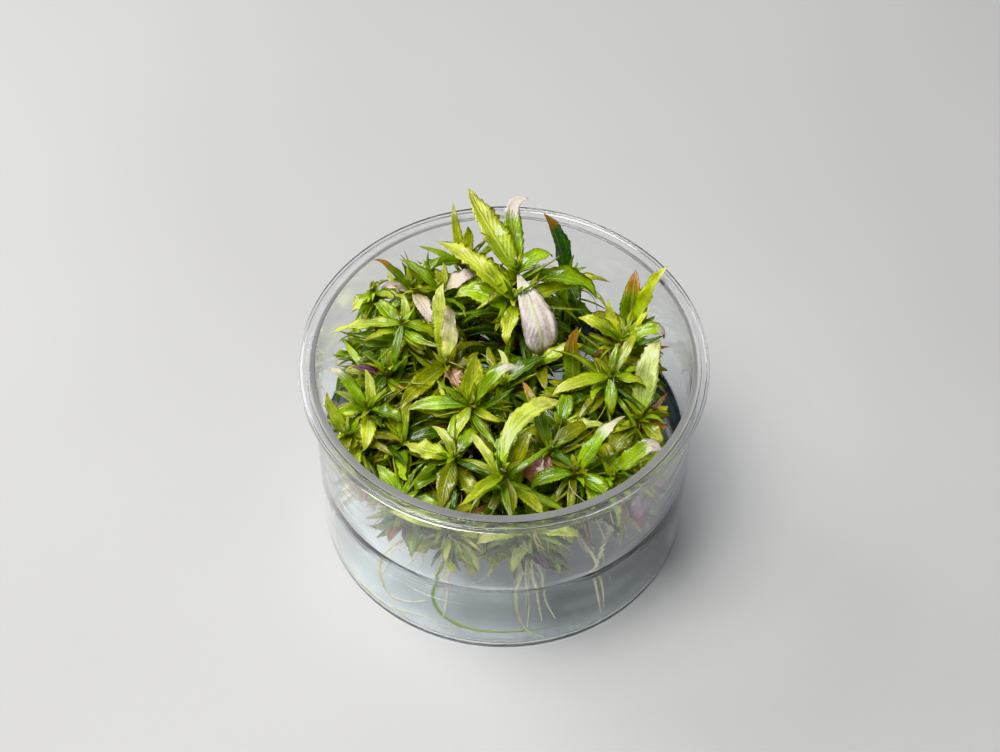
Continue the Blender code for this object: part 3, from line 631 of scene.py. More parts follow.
def curled(paths, curl, swerve, start):
    """Bends each leaf down about its own side, and to its right about its upward direction, both by
    angles that grow from start to the tip."""
    at = np.linspace(0, 1, paths.half.shape[1])
    grows = smoothstep(0, 1, (at - start[:, None]) / (1 - start[:, None])) ** CURL_POWER
    for degrees, sideways in ((curl, False), (-swerve, True)):
        angle = (np.radians(degrees)[:, None] * grows)[..., None]
        axis = paths.aboves if sideways else paths.sides
        steps = np.diff(paths.places, axis=1)
        middle = (angle[:, 1:] + angle[:, :-1]) / 2
        steps = steps * np.cos(middle) + np.cross(axis[:, 1:], steps) * np.sin(middle)
        first = paths.places[:, :1]
        places = np.concatenate([first, first + np.cumsum(steps, axis=1)], axis=1)
        swung = paths.sides if sideways else paths.aboves
        swung = unit(swung * np.cos(angle) + np.cross(axis, swung) * np.sin(angle))
        turned_to = {"sides": swung} if sideways else {"aboves": swung}
        paths = paths._replace(places=places, **turned_to)
    return paths


def widened(paths, blunt, broad):
    """Blades broad times as wide, and wider still in their outer half: the half width is divided by
    (twice what is left of the length) to the power BLUNT_POWER x blunt."""
    left = np.clip(2 * (1 - np.linspace(0, 1, paths.half.shape[1])), LEAST_LEFT, 1)
    return paths._replace(half=paths.half * broad[:, None] * left ** (-BLUNT_POWER * blunt[:, None]))


def twisted(paths, twist):
    """Turns the blade about its own midrib, by an angle that grows along it."""
    at = np.linspace(0, 1, paths.half.shape[1])
    angle = (np.radians(twist)[:, None] * smoothstep(TWIST_FROM, 1, at))[..., None]
    sides = paths.sides * np.cos(angle) + paths.aboves * np.sin(angle)
    aboves = paths.aboves * np.cos(angle) - paths.sides * np.sin(angle)
    return paths._replace(sides=sides, aboves=aboves)


def sheets(paths):
    """Corners and faces of the blades' middle surfaces, over their outer part."""
    first = round(CLEAR_FROM * paths.half.shape[1])
    edge = paths.sides * paths.half[..., None]
    grid = np.stack([paths.places + edge, paths.places, paths.places - edge], axis=2)[:, first:]
    number, rows = grid.shape[:2]
    low = 3 * np.arange(rows - 1)[:, None] + np.arange(2)
    quads = np.stack([low, low + 1, low + 4, low + 3], axis=-1).reshape(-1, 4)
    faces = quads[None] + (3 * rows * np.arange(number))[:, None, None]
    return grid.reshape(-1, 3), faces.reshape(-1, 4)


def tree_of(corner_sets):
    """A search tree of several sheets."""
    starts = np.cumsum([0] + [len(corners) for corners, _ in corner_sets[:-1]])
    corners = np.vstack([corners for corners, _ in corner_sets])
    faces = np.vstack([faces + start for (_, faces), start in zip(corner_sets, starts)])
    return BVHTree.FromPolygons(corners.tolist(), faces.tolist())


def is_clear(paths, tree):
    """Whether one leaf keeps clear of every sheet in the tree."""
    return not tree_of([sheets(paths)]).overlap(tree)


def fitted(paths, shoot):
    """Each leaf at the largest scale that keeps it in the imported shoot's box, inside the wall and
    over the gel. The second value tells which leaves have such a scale."""
    low, high = shoot.box
    base = paths.places[:, :1]
    places, half = paths.places.copy(), paths.half.copy()
    found = np.zeros(len(half), bool)
    for scale in FILL_SCALES:
        tried, width = base + (paths.places - base) * scale, paths.half * scale
        reach = np.hypot(tried[..., 0], tried[..., 1]) + width
        fits = (reach < wall_radius(GEL_TOP) - WALL_CLEARANCE).all(axis=1)
        fits &= (tried[..., 2] - width > GEL_TOP + GEL_CLEARANCE).all(axis=1)
        fits &= ((tried > low - BOX_PLAY) & (tried < high + BOX_PLAY)).all(axis=(1, 2))
        new = fits & ~found
        places[new], half[new] = tried[new], width[new]
        found |= new
    return paths._replace(places=places, half=half), found


Skins = namedtuple("Skins", "points uvs under")
Style = namedtuple("Style", "fold ripple phase teeth")


def blade_skins(paths, style, top, under):
    """Closed leaf skins. Each section runs over the top from the left margin to the right one and
    back underneath: half width x v to the side, with teeth on the margins that repeat along the
    blade, a power of |v| times the fold up, a ripple that grows as v squared towards the margins, a
    thickness that thins towards them and the tip, and a rib below the middle."""
    v = np.array(top + under)
    is_under = np.array([0] * len(top) + [1] * len(under))
    rows = paths.half.shape[1]
    at = np.linspace(0, 1, rows)[None, :, None]
    half = paths.half[..., None]
    style = Style(*(values[:, None, None] for values in style))
    tooth, step = np.divmod(np.arange(rows)[None, :, None], len(TOOTH_STEPS))
    differs = TOOTH_MEAN + TOOTH_SWING * np.sin(TOOTH_BEAT * tooth + TOOTH_PHASE * style.phase + 2 * v)
    notched = np.array(TOOTH_STEPS)[step] * differs * smoothstep(*TEETH_FROM, at) * (np.abs(v) == 1)
    across = v * half * (1 + style.teeth * notched)
    fold = style.fold * half * np.abs(v) ** FOLD_POWER
    waves = np.sin(2 * math.pi * (RIPPLES * at + style.phase + RIPPLE_LAG * (v < 0)))
    ripple = style.ripple * half * waves * v**2 * smoothstep(*RIPPLE_FROM, at)
    edge = 1 - EDGE_THINNING * np.abs(v) ** EDGE_POWER
    thickness = BLADE_THICKNESS * edge * np.minimum(1, TIP_THINNING * (1 - at) + TIP_THICKNESS)
    rib = RIB_DEPTH * (1 - at) ** RIB_POWER * (v == 0)
    groove = GROOVE_SHARE * rib * (1 - is_under)
    up = fold + ripple + thickness * (0.5 - is_under) - rib * is_under - groove
    points = (
        paths.places[:, :, None, :]
        + across[..., None] * paths.sides[:, :, None, :]
        + up[..., None] * paths.aboves[:, :, None, :]
    )
    along_across = np.stack(np.broadcast_arrays(at[0], (v + 1) / 2), axis=-1)
    uvs = np.broadcast_to(along_across, points.shape[:-1] + (2,))
    return Skins(points, uvs, np.broadcast_to(is_under, points.shape[:-1]))


def tube_skin(path, radii, sides):
    """A tube along a path: rings square to it, each turned as little as possible from the last."""
    along = unit(np.gradient(path, axis=0))
    across = unit(np.cross(along[0], FIRST_ACROSS))
    angles = np.linspace(0, 2 * math.pi, sides, endpoint=False)
    rings = []
    for place, heading, radius in zip(path, along, radii):
        across = unit(across - heading * across.dot(heading))
        other = np.cross(heading, across)
        spokes = np.outer(np.cos(angles), across) + np.outer(np.sin(angles), other)
        rings.append(place + radius * spokes)
    points = np.array(rings)[None]
    at = np.linspace(0, 1, len(path))[:, None] * np.ones(sides)
    round_it = angles / (2 * math.pi) * np.ones((len(path), 1))
    uvs = np.stack([at, round_it], axis=-1)[None]
    return Skins(points, uvs, np.zeros(points.shape[:-1]))


def ring_faces(rings, sides):
    """Four-cornered faces between neighbouring rings whose corners are numbered one ring on."""
    k = np.arange(sides)
    after = (k + 1) % sides
    low = np.arange(rings - 1)[:, None] * sides
    return np.stack([low + k, low + after, low + sides + after, low + sides + k], axis=-1).reshape(-1, 4)


class Gathered:
    """Closed skins joined into one mesh, with their uv places, tints and traits."""

    def __init__(self):
        self.points, self.faces, self.uvs, self.tints, self.traits, self.slots = [], [], [], [], [], []
        self.count = 0

    def add(self, skins, tints, traits, slot):
        """skins in rows of rings; the first ring is closed by one face and the last by another."""
        number, rows, sides = skins.points.shape[:3]
        starts = (self.count + np.arange(number) * rows * sides)[:, None, None]
        quads = ring_faces(rows, sides)
        self.faces += (quads + starts).reshape(-1, 4).tolist()
        k = np.arange(sides)
        caps = np.stack([k[::-1], (rows - 1) * sides + k])
        self.faces += (caps + starts).reshape(-1, sides).tolist()
        self.slots += [slot] * (number * (len(quads) + 2))
        self.points.append(skins.points.reshape(-1, 3))
        self.uvs.append(skins.uvs.reshape(-1, 2))
        self.tints.append(tints.reshape(-1, 3))
        self.traits.append(traits.reshape(-1, 3))
        self.count += number * rows * sides

    def mesh(self, name, materials):
        made = bpy.data.meshes.new(name)
        made.from_pydata((np.vstack(self.points) * MM).tolist(), [], self.faces)
        for finish in materials:
            made.materials.append(finish)
        made.polygons.foreach_set("material_index", self.slots)
        loops = np.empty(len(made.loops), int)
        made.loops.foreach_get("vertex_index", loops)
        uv_map = made.uv_layers.new(name="along_across")
        uv_map.data.foreach_set("uv", np.vstack(self.uvs)[loops].astype(np.float32).ravel())
        for label, rows in (("tint", self.tints), ("trait", self.traits)):
            values = np.vstack(rows)
            values = np.column_stack([values, np.ones(len(values))]).astype(np.float32)
            layer = made.attributes.new(label, "FLOAT_COLOR", "POINT")
            layer.data.foreach_set("color", values.ravel())
        made.shade_smooth()
        return made


def linked(name, data):
    """A new object in the scene, at the origin, with this mesh, lamp or camera."""
    obj = bpy.data.objects.new(name, data)
    bpy.context.scene.collection.objects.link(obj)
    return obj


def add_object(name, mesh, body="root"):
    obj = linked(name, mesh)
    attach(obj, body)
    return obj


# The shoots


def matched_looks(shoot, draw):
    """The look of each packed leaf: the known look nearest in azimuth, or one drawn for its height."""
    known = dict(KNOWN.get(shoot.name, {}))
    middle = (shoot.bud[2] + GEL_TOP) / 2
    pairs = sorted(
        (abs((leaf.heading - azimuth + 180) % 360 - 180), number, azimuth)
        for number, leaf in enumerate(shoot.leaves)
        for azimuth in known
        if len(leaf.shares) > PLAIN_SECTIONS
    )
    looks = {}
    for apart, number, azimuth in pairs:
        if apart < MATCH_DEGREES and number not in looks and azimuth in known:
            looks[number] = known.pop(azimuth)
    for number, leaf in enumerate(shoot.leaves):
        if number not in looks:
            looks[number] = drawn_look(draw, CROWN_LOOKS if leaf.base[2] > middle else LOW_LOOKS)
    return [looks[number] for number in range(len(shoot.leaves))]


def drawn_look(draw, odds):
    names, weights = zip(*odds)
    return names[int(draw.choice(len(names), p=np.array(weights) / sum(weights)))]


def painted(skins, looks, draw):
    """Tints that run from the look's base colour to its tip colour, with its paler underside, and
    traits: a number of the leaf's own, how far its tip and margins have browned, and its veins."""
    number = len(looks)
    given = [
        np.array([getattr(LOOKS[look], field) for look in looks]).reshape(number, 1, 1, -1)
        for field in ("base", "tip", "under", "turns", "over", "veins")
    ]
    base, tip, under, turns, over, veins = given
    shade = draw.uniform(*SHADE_PLAY, (number, 1, 1, 1))
    turns = turns + draw.uniform(*TURNS_PLAY, (number, 1, 1, 1))
    blend = smoothstep(turns, np.minimum(turns + over, 1.0), skins.uvs[..., :1])
    tints = base + (tip - base) * blend
    tints = np.where(skins.under[..., None] > 0, under, tints) * shade
    traits = np.empty(skins.points.shape)
    traits[..., 0] = draw.uniform(0, 1, (number, 1, 1))
    traits[..., 1] = draw.uniform(0, 1, (number, 1, 1)) ** BROWNED_POWER
    traits[..., 2] = veins[..., 0]
    return np.clip(tints, 0, 1), traits


def styled(draw, number, fold, ripple, teeth):
    """A fold, ripple, phase and teeth for each of a number of blades, drawn from these ranges."""
    return Style(
        draw.uniform(*fold, number), draw.uniform(*ripple, number),
        draw.uniform(0, 1, number), draw.uniform(*teeth, number),
    )


Blades = namedtuple("Blades", "paths style looks")


def packed_blades(shoot, draw):
    """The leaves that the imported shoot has, drawn out finely on its midribs."""
    looks = matched_looks(shoot, draw)
    made = []
    for plain in (False, True):
        chosen = [
            k for k, leaf in enumerate(shoot.leaves) if (len(leaf.shares) == PLAIN_SECTIONS) == plain
        ]
        number = len(chosen)
        if not number:
            continue
        paths = packed_paths([shoot.leaves[k] for k in chosen], PLAIN_ROWS if plain else HERO_ROWS)
        tip_curl, loose, teeth, blunt, tip_swerve, broad = (
            np.array([getattr(LOOKS[looks[k]], field) for k in chosen])
            for field in ("curl", "loose", "teeth", "blunt", "swerve", "broad")
        )
        curl = draw.uniform(*CURLS, number) * loose + tip_curl
        paths = widened(paths, blunt, broad)
        swerve = draw.uniform(*SWERVES, number) * loose + tip_swerve
        paths = curled(paths, curl, swerve, draw.uniform(*CURL_STARTS, number))
        paths = twisted(paths, draw.uniform(*TWISTS, number) * loose)
        paths.places[..., 2] = np.minimum(paths.places[..., 2], cad_high.z / MM - TOP_PLAY)
        style = styled(draw, number, *PACKED_STYLE)
        style = style._replace(ripple=style.ripple * loose, teeth=style.teeth * teeth)
        made.append(Blades(paths, style, [looks[k] for k in chosen]))
    return made


def extra_blades(shoot, draw):
    """The single leaves of note that grow from this shoot."""
    wanted = [Extra(*row) for row in EXTRAS.get(shoot.name, ())]
    if not wanted:
        return []
    share, azimuth, rise, length, width, droop, turn = np.array([extra[:-1] for extra in wanted]).T
    stem = shoot.bud - shoot.foot
    bases = shoot.foot + stem * (share * (1 - BUD_RISE / stem[2]))[:, None]
    paths, found = fitted(
        grown_paths(bases, azimuth, rise, length, width, droop, turn, PLAIN_ROWS), shoot
    )
    style = styled(draw, int(found.sum()), *EXTRA_STYLE)
    looks = [extra.look for extra, kept in zip(wanted, found) if kept]
    return [Blades(picked(paths, found), style, looks)] if looks else []


def guards(blades):
    """Sheets for further leaves to keep clear of: the blades, and for each leaf that stays in sight,
    copies of it set step by step towards the camera."""
    found = [sheets(blades.paths)]
    shown = [k for k, look in enumerate(blades.looks) if look in IN_SIGHT]
    if shown:
        corners, faces = sheets(picked(blades.paths, shown))
        found += [(corners + step * TOWARDS_CAMERA, faces) for step in SIGHT_STEPS]
    return found


def add_packed_leaves(gathered, blades, draw):
    for paths, style, looks in blades:
        skins = blade_skins(paths, style, HERO_TOP, HERO_UNDER)
        tints, traits = painted(skins, looks, draw)
        gathered.add(skins, tints, traits, LEAF)


def add_fill_leaves(gathered, shoot, packed_tree, draw):
    """The further leaves of the shoot, whorl by whorl up the stem, and darker the lower they grow, a
    painted shade as if from the leaves above. A leaf that would cut a packed one is turned aside,
    and is left out if no way is clear."""
    stem = shoot.bud - shoot.foot
    crown_share = 1 - BUD_RISE / stem[2]
    start = draw.uniform(0, 360)
    for number, whorl in enumerate(FILL_WHORLS):
        count = whorl.count
        height = draw.uniform(-HEIGHT_PLAY, HEIGHT_PLAY, count)
        height = height * min(1, abs(1 - whorl.share) * CROWN_STILLNESS)
        bases = shoot.foot + stem * (crown_share * whorl.share + height / stem[2])[:, None]
        azimuth = start + number * GOLDEN_ANGLE + np.arange(count) * 360 / count
        azimuth = azimuth + draw.uniform(-AZIMUTH_PLAY, AZIMUTH_PLAY, count)
        ranges = (whorl.rise, whorl.length, whorl.width, whorl.droop)
        rise, length, width, droop = (draw.uniform(*values, count) for values in ranges)
        turn = draw.uniform(-FILL_TURN, FILL_TURN, count)
        twist = draw.uniform(-FILL_TWIST, FILL_TWIST, count)
        style = styled(draw, count, *FILL_STYLE)
        looks = [drawn_look(draw, whorl.looks) for _ in range(count)]
        chosen = {}
        for aside in TURNED_ASIDE:
            tried = grown_paths(
                bases, azimuth + aside, rise, length, width, droop, turn, FILL_ROWS
            )
            tried, found = fitted(twisted(tried, twist), shoot)
            for k in np.flatnonzero(found).tolist():
                one = picked(tried, [k])
                if k not in chosen and is_clear(one, packed_tree):
                    chosen[k] = one
        kept = sorted(chosen)
        if kept:
            paths = Paths(*(np.concatenate(rows) for rows in zip(*(chosen[k] for k in kept))))
            skins = blade_skins(paths, picked(style, kept), FILL_TOP, FILL_UNDER)
            tints, traits = painted(skins, [looks[k] for k in kept], draw)
            # Painted shade: the lower a whorl grows, the darker its tints, as if shaded by the leaves
            # above.
            painted_canopy_shade = LOW_SHADE + (1 - LOW_SHADE) * min(whorl.share, 1) ** 2
            gathered.add(skins, tints * painted_canopy_shade, traits, LEAF)


def add_stem(gathered, shoot, draw):
    """The stem from the gel to the bud, thicker at each node by a bell curve of the distance to it,
    and drawn in towards the bud."""
    at = np.linspace(0, 1, STEM_ROWS)
    path = shoot.foot + (shoot.bud - shoot.foot) * at[:, None] * STEM_END
    swell = np.exp(-(((at[:, None] - STEM_NODES) / NODE_LENGTH) ** 2)).sum(axis=1)
    taper = 1 - STEM_TAPER * smoothstep(STEM_TAPER_FROM, 1, at)
    skins = tube_skin(path, STEM_RADIUS * (1 + NODE_SWELL * swell) * taper, STEM_SIDES)
    tints = STEM_LOW + (STEM_HIGH - STEM_LOW) * at[None, :, None, None]
    tints = np.broadcast_to(tints * draw.uniform(*STEM_SHADES), skins.points.shape)
    gathered.add(skins, tints, np.full(skins.points.shape, draw.uniform(0, 1)), STEM)


def smooth_path(points, rows):
    """A smooth line through points, at shares of their summed distances."""
    points = np.array(points, float)
    walked = np.concatenate([[0], np.cumsum(np.linalg.norm(np.diff(points, axis=0), axis=1))])
    return through(walked / walked[-1], points, np.linspace(0, 1, rows))


def add_threads(gathered, shoot, packed_tree, draw):
    """Fine air roots and leaf threads that arch away from the stem between its leaves, where no
    packed leaf is in their way."""
    count = int(draw.integers(*THREAD_COUNT))
    bases = shoot.foot + (shoot.bud - shoot.foot) * draw.uniform(*THREAD_SHARES, (count, 1))
    ranges = ((0, 360), THREAD_RISE, THREAD_LENGTH, THREAD_DROOP, THREAD_TURN)
    azimuth, rise, length, droop, turn = (draw.uniform(*values, count) for values in ranges)
    paths, found = fitted(
        grown_paths(bases, azimuth, rise, length, np.zeros(count), droop, turn, THREAD_ROWS), shoot
    )
    tints = np.array(THREAD_TINTS)[draw.integers(0, len(THREAD_TINTS), count)]
    radii = draw.uniform(*THREAD_RADIUS, count)
    for k in np.flatnonzero(found).tolist():
        if is_clear(picked(paths, [k]), packed_tree):
            thins = np.linspace(1, THREAD_TAPER, THREAD_ROWS)
            skins = tube_skin(paths.places[k], radii[k] * thins, THREAD_SIDES)
            shade = np.broadcast_to(tints[k], skins.points.shape)
            gathered.add(skins, shade, np.zeros(skins.points.shape), ROOT)


def add_roots(gathered, shoot, draw):
    """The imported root, and finer roots that wander down and outwards through the gel."""
    packed_radius = ROOT_RADIUS if len(shoot.root) > 1 else STEM_RADIUS
    runs = [(smooth_path([shoot.foot, *shoot.root], ROOT_ROWS), packed_radius)]
    start = shoot.foot - ROOT_START
    for _ in range(draw.integers(*FINE_COUNT)):
        way = math.atan2(shoot.foot[1], shoot.foot[0]) + draw.uniform(*FINE_SPREAD)
        reach, depth = draw.uniform(*FINE_REACH), draw.uniform(*FINE_DEPTH)
        points = [start]
        for step in FINE_STEPS:
            out = np.array([math.cos(way), math.sin(way)]) * reach * step + draw.uniform(*FINE_WANDER, 2)
            points.append(np.array([*(shoot.foot[:2] + out), shoot.foot[2] - depth * step]))
        points = np.array(points)
        radius = np.hypot(points[:, 0], points[:, 1])
        limit = wall_radius(0) - WALL_CLEARANCE
        points[:, :2] *= np.minimum(1, limit / np.maximum(radius, TINY))[:, None]
        points[:, 2] = np.maximum(points[:, 2], FLOOR + WALL_CLEARANCE)
        runs.append((smooth_path(points, FINE_ROWS), draw.uniform(*FINE_RADIUS)))
    if shoot.name in LONG_ROOTS:
        runs.append((smooth_path([start, *LONG_ROOTS[shoot.name]], LONG_ROWS), ROOT_RADIUS))
    for number, (path, radius) in enumerate(runs):
        taper = 1 - ROOT_TAPER * smoothstep(0.5, 1, np.linspace(0, 1, len(path)))
        skins = tube_skin(path, radius * taper, ROOT_SIDES)
        tint = np.array(GREEN_ROOT if number == 0 and shoot.name in GREEN_ROOTED else ROOT_TINT)
        tints = np.broadcast_to(tint * draw.uniform(*ROOT_SHADES), skins.points.shape)
        gathered.add(skins, tints, np.full(skins.points.shape, draw.uniform(0, 1)), ROOT)


def make_shoots(finishes):
    """Every shoot in one piece of its own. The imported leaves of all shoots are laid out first, for
    the further leaves to keep clear of."""
    names = sorted(name.removeprefix("shoot_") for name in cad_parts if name.startswith("shoot_"))
    shoots = [read_shoot(name) for name in names]
    draws = [np.random.default_rng(SEED + number) for number in range(len(names))]
    packed = [
        packed_blades(shoot, draw) + extra_blades(shoot, draw) for shoot, draw in zip(shoots, draws)
    ]
    packed_tree = tree_of(
        [sheet for several in packed for blades in several for sheet in guards(blades)]
    )
    for shoot, draw, blades in zip(shoots, draws, packed):
        gathered = Gathered()
        add_packed_leaves(gathered, blades, draw)
        add_fill_leaves(gathered, shoot, packed_tree, draw)
        add_stem(gathered, shoot, draw)
        add_threads(gathered, shoot, packed_tree, draw)
        add_roots(gathered, shoot, draw)
        name = "foliage_" + shoot.name
        piece = add_object(name, gathered.mesh(name, finishes))
        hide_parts("shoot_" + shoot.name)
    return shoots


# The cup and the gel


def arc(centre, radius, start, end):
    """Points of a round corner in the (radius, height) plane, between two angles in degrees."""
    angles = np.radians(np.linspace(start, end, ARC_POINTS))
    return [(centre[0] + radius * math.cos(a), centre[1] + radius * math.sin(a)) for a in angles]


def rounded(profile, radius):
    """The profile with each inner corner cut by a short curve, a square law between two near points."""
    points = [np.array(p, float) for p in profile]
    made = [points[0]]
    for before, here, after in zip(points, points[1:], points[2:]):
        back, ahead = before - here, after - here
        reach = min(radius, *(ROUNDING_SHARE * np.linalg.norm(way) for way in (back, ahead)))
        start = here + unit(back) * reach
        end = here + unit(ahead) * reach
        for t in np.linspace(0, 1, ROUNDING_POINTS):
            made.append(start * (1 - t) ** 2 + 2 * here * t * (1 - t) + end * t**2)
    return np.array(made + [points[-1]])


def cup_profile():
    """From the middle of the floor up the inside, over the lip and flange, and down the outside."""
    neck_in = NECK_RADIUS - WALL
    base_out = NECK_RADIUS - BASE_TAPER
    lip_out = neck_in + LIP_WIDTH
    flange_top = cup_height - LIP_STEP
    flange_under = flange_top - FLANGE
    skirt_in = rim_radius - SKIRT_WIDTH
    skirt_foot = flange_top - SKIRT_DROP
    round_in = CORNER - WALL / 2
    inside = [(0, FLOOR)] + arc((wall_radius(0) - round_in, FLOOR + round_in), round_in, -90, 0)
    rim = rounded(
        [inside[-1], (neck_in, cup_height), (lip_out, cup_height), (lip_out, flange_top),
         (rim_radius, flange_top), (rim_radius, skirt_foot), (skirt_in, skirt_foot),
         (skirt_in, flange_under), (NECK_RADIUS, flange_under), (base_out, CORNER)],
        ROUNDING,
    )
    foot = arc((base_out - CORNER, CORNER), CORNER, 0, -90)
    ring_in = base_out - CORNER - FOOT_RING_WIDTH
    ring = [(ring_in, 0.0), (ring_in - FOOT_RING_SLOPE, FOOT_RING), (0, FOOT_RING)]
    return np.vstack([inside[:-1], rim[:-1], foot, ring])


def turned(name, profile, height_over=None):
    """A profile carried round the Z axis, closed at both poles. height_over(x, y, row) lifts its rows."""
    radius, height = profile[1:-1, 0], profile[1:-1, 1]
    angle = np.linspace(0, 2 * math.pi, TURN_STEPS, endpoint=False)
    x, y = np.outer(radius, np.cos(angle)), np.outer(radius, np.sin(angle))
    z = np.broadcast_to(height[:, None], x.shape).copy()
    top = profile[0, 1]
    if height_over is not None:
        z += height_over(x, y, height[:, None])
        top += float(height_over(np.zeros(1), np.zeros(1), np.full(1, top))[0])
    grid = np.stack([x, y, z], axis=-1).reshape(-1, 3)
    points = np.vstack([grid, [0, 0, top], [0, 0, profile[-1, 1]]])
    poles = np.full(TURN_STEPS, grid.shape[0])
    k = np.arange(TURN_STEPS)
    after = (k + 1) % TURN_STEPS
    last = (len(radius) - 1) * TURN_STEPS
    tops = np.stack([poles, after, k], axis=-1)
    ends = np.stack([poles + 1, last + k, last + after], axis=-1)
    mesh = bpy.data.meshes.new(name)
    faces = ring_faces(len(radius), TURN_STEPS).tolist() + tops.tolist() + ends.tolist()
    mesh.from_pydata((points * MM).tolist(), [], faces)
    mesh.flip_normals()
    mesh.shade_smooth()
    return mesh


def make_cup(finishes):
    """The cup, with the upward faces of its lip in the hazier of the two finishes."""
    mesh = turned("clear_cup", cup_profile())
    for finish in finishes:
        mesh.materials.append(finish)
    centres = np.empty(len(mesh.polygons) * 3)
    mesh.polygons.foreach_get("center", centres)
    x, y, z = centres.reshape(-1, 3).T / MM
    on_lip = (z > cup_height - LIP_STEP / 2) & (np.hypot(x, y) < NECK_RADIUS - WALL + LIP_WIDTH)
    mesh.polygons.foreach_set("material_index", on_lip.astype(int))
    mesh.set_sharp_from_angle(angle=math.radians(SHARP_DEGREES))
    piece = add_object("clear_cup", mesh)
    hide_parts("cup")
    return piece


def make_gel(shoots, finish):
    """The gel's top is level but for low swells, a sine along x times a cosine along y, each bent by
    the other way's own sine. It creeps up the wall by a squared smooth step, and wets each stem by
    a height that falls off with the distance to it."""
    edge = wall_radius(GEL_TOP) + WET_INTO_WALL
    feet = np.array([shoot.foot[:2] for shoot in shoots])
    level = edge - MENISCUS_WIDTH
    outer = edge - MENISCUS_WIDTH * np.linspace(1, 0, MENISCUS_RINGS)[1:]
    radii = np.concatenate([np.linspace(0, level, GEL_RINGS), outer])
    creep = MENISCUS_RISE * smoothstep(level, edge, radii) ** 2
    surface = np.column_stack([radii, GEL_TOP + creep])
    floor = FLOOR - WET_INTO_WALL
    low_edge = wall_radius(0) + WET_INTO_WALL
    side = arc((low_edge - CORNER, floor + CORNER), CORNER, 0, -90)
    profile = np.vstack([surface, side, [(0, floor)]])

    def lifted(x, y, height):
        on_top = height > GEL_TOP - TOP_SLACK
        swells = np.sin(x / 5.1 + 0.8 * np.sin(y / 7.3)) * np.cos(y / 6.1 + 0.7 * np.sin(x / 9.7))
        reach = np.hypot(x[..., None] - feet[:, 0], y[..., None] - feet[:, 1])
        wet = STEM_WETTING * np.exp(-reach / STEM_WETTING_REACH).sum(axis=-1)
        inner = 1 - smoothstep(level, edge, np.hypot(x, y))
        return on_top * (DIMPLE_DEPTH * swells + wet) * inner

    mesh = turned("nutrient_gel", profile, lifted)
    mesh.materials.append(finish)
    piece = add_object("nutrient_gel", mesh)
    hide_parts("gel")
    return piece


# Materials


class Tree:
    """Short ways to add and link nodes in one node tree."""

    def __init__(self, nodes_of):
        self.tree = nodes_of
        self.nodes, self.links = nodes_of.nodes, nodes_of.links

    def add(self, kind, settings=None, **inputs):
        node = self.nodes.new(kind)
        for name, value in (settings or {}).items():
            setattr(node, name, value)
        return self.fill(node, **inputs)

    def fill(self, node, **inputs):
        """Sets or links inputs by name, with _ for a space, or by number after an underscore."""
        for name, value in inputs.items():
            socket = node.inputs[int(name[1:]) if name[0] == "_" else name.replace("_", " ")]
            if isinstance(value, bpy.types.NodeSocket):
                self.links.new(value, socket)
            else:
                socket.default_value = value
        return node

    def fill_in_order(self, node, values):
        return self.fill(node, **{f"_{index}": value for index, value in enumerate(values)})

    def math(self, operation, *values, clamp=False):
        node = self.add("ShaderNodeMath", {"operation": operation, "use_clamp": clamp})
        return self.fill_in_order(node, values).outputs[0]

    def times(self, first, *others, clamp=False):
        for other in others:
            first = self.math("MULTIPLY", first, other, clamp=clamp)
        return first

    def ramp(self, value, low, high, out_low=0.0, out_high=1.0):
        node = self.add("ShaderNodeMapRange", {"interpolation_type": "SMOOTHSTEP"})
        return self.fill_in_order(node, (value, low, high, out_low, out_high)).outputs[0]

    def mix(self, share, first, second, blend="MIX"):
        node = self.add("ShaderNodeMix", {"data_type": "RGBA", "blend_type": blend})
        return self.fill(node, _0=share, _6=first, _7=second).outputs[2]

    def grey(self, value):
        return self.add("ShaderNodeCombineColor", Red=value, Green=value, Blue=value).outputs[0]

    def noise(self, place, scale, detail=3.0, roughness=0.55):
        node = self.add("ShaderNodeTexNoise", Scale=scale, Detail=detail, Roughness=roughness)
        return self.fill(node, Vector=place).outputs["Fac"]

    def bump(self, height, strength, distance):
        node = self.add("ShaderNodeBump", Strength=strength, Distance=distance)
        return self.fill(node, Height=height).outputs[0]

    def place(self):
        return self.add("ShaderNodeTexCoord").outputs["Object"]

    def group(self, group, **inputs):
        return self.add("ShaderNodeGroup", {"node_tree": group}, **inputs).outputs


def new_group(name, inputs, outputs):
    """A shader group with the given inputs and their values, and outputs by name."""
    group = bpy.data.node_groups.new(name, "ShaderNodeTree")
    for label, value in inputs.items():
        kind = "NodeSocketVector" if value is None else "NodeSocketFloat"
        made = group.interface.new_socket(label, in_out="INPUT", socket_type=kind)
        if value is not None:
            made.default_value = value
    for label in outputs:
        group.interface.new_socket(label, in_out="OUTPUT", socket_type="NodeSocketFloat")
    tree = Tree(group)
    return tree, tree.add("NodeGroupInput").outputs, tree.add("NodeGroupOutput")


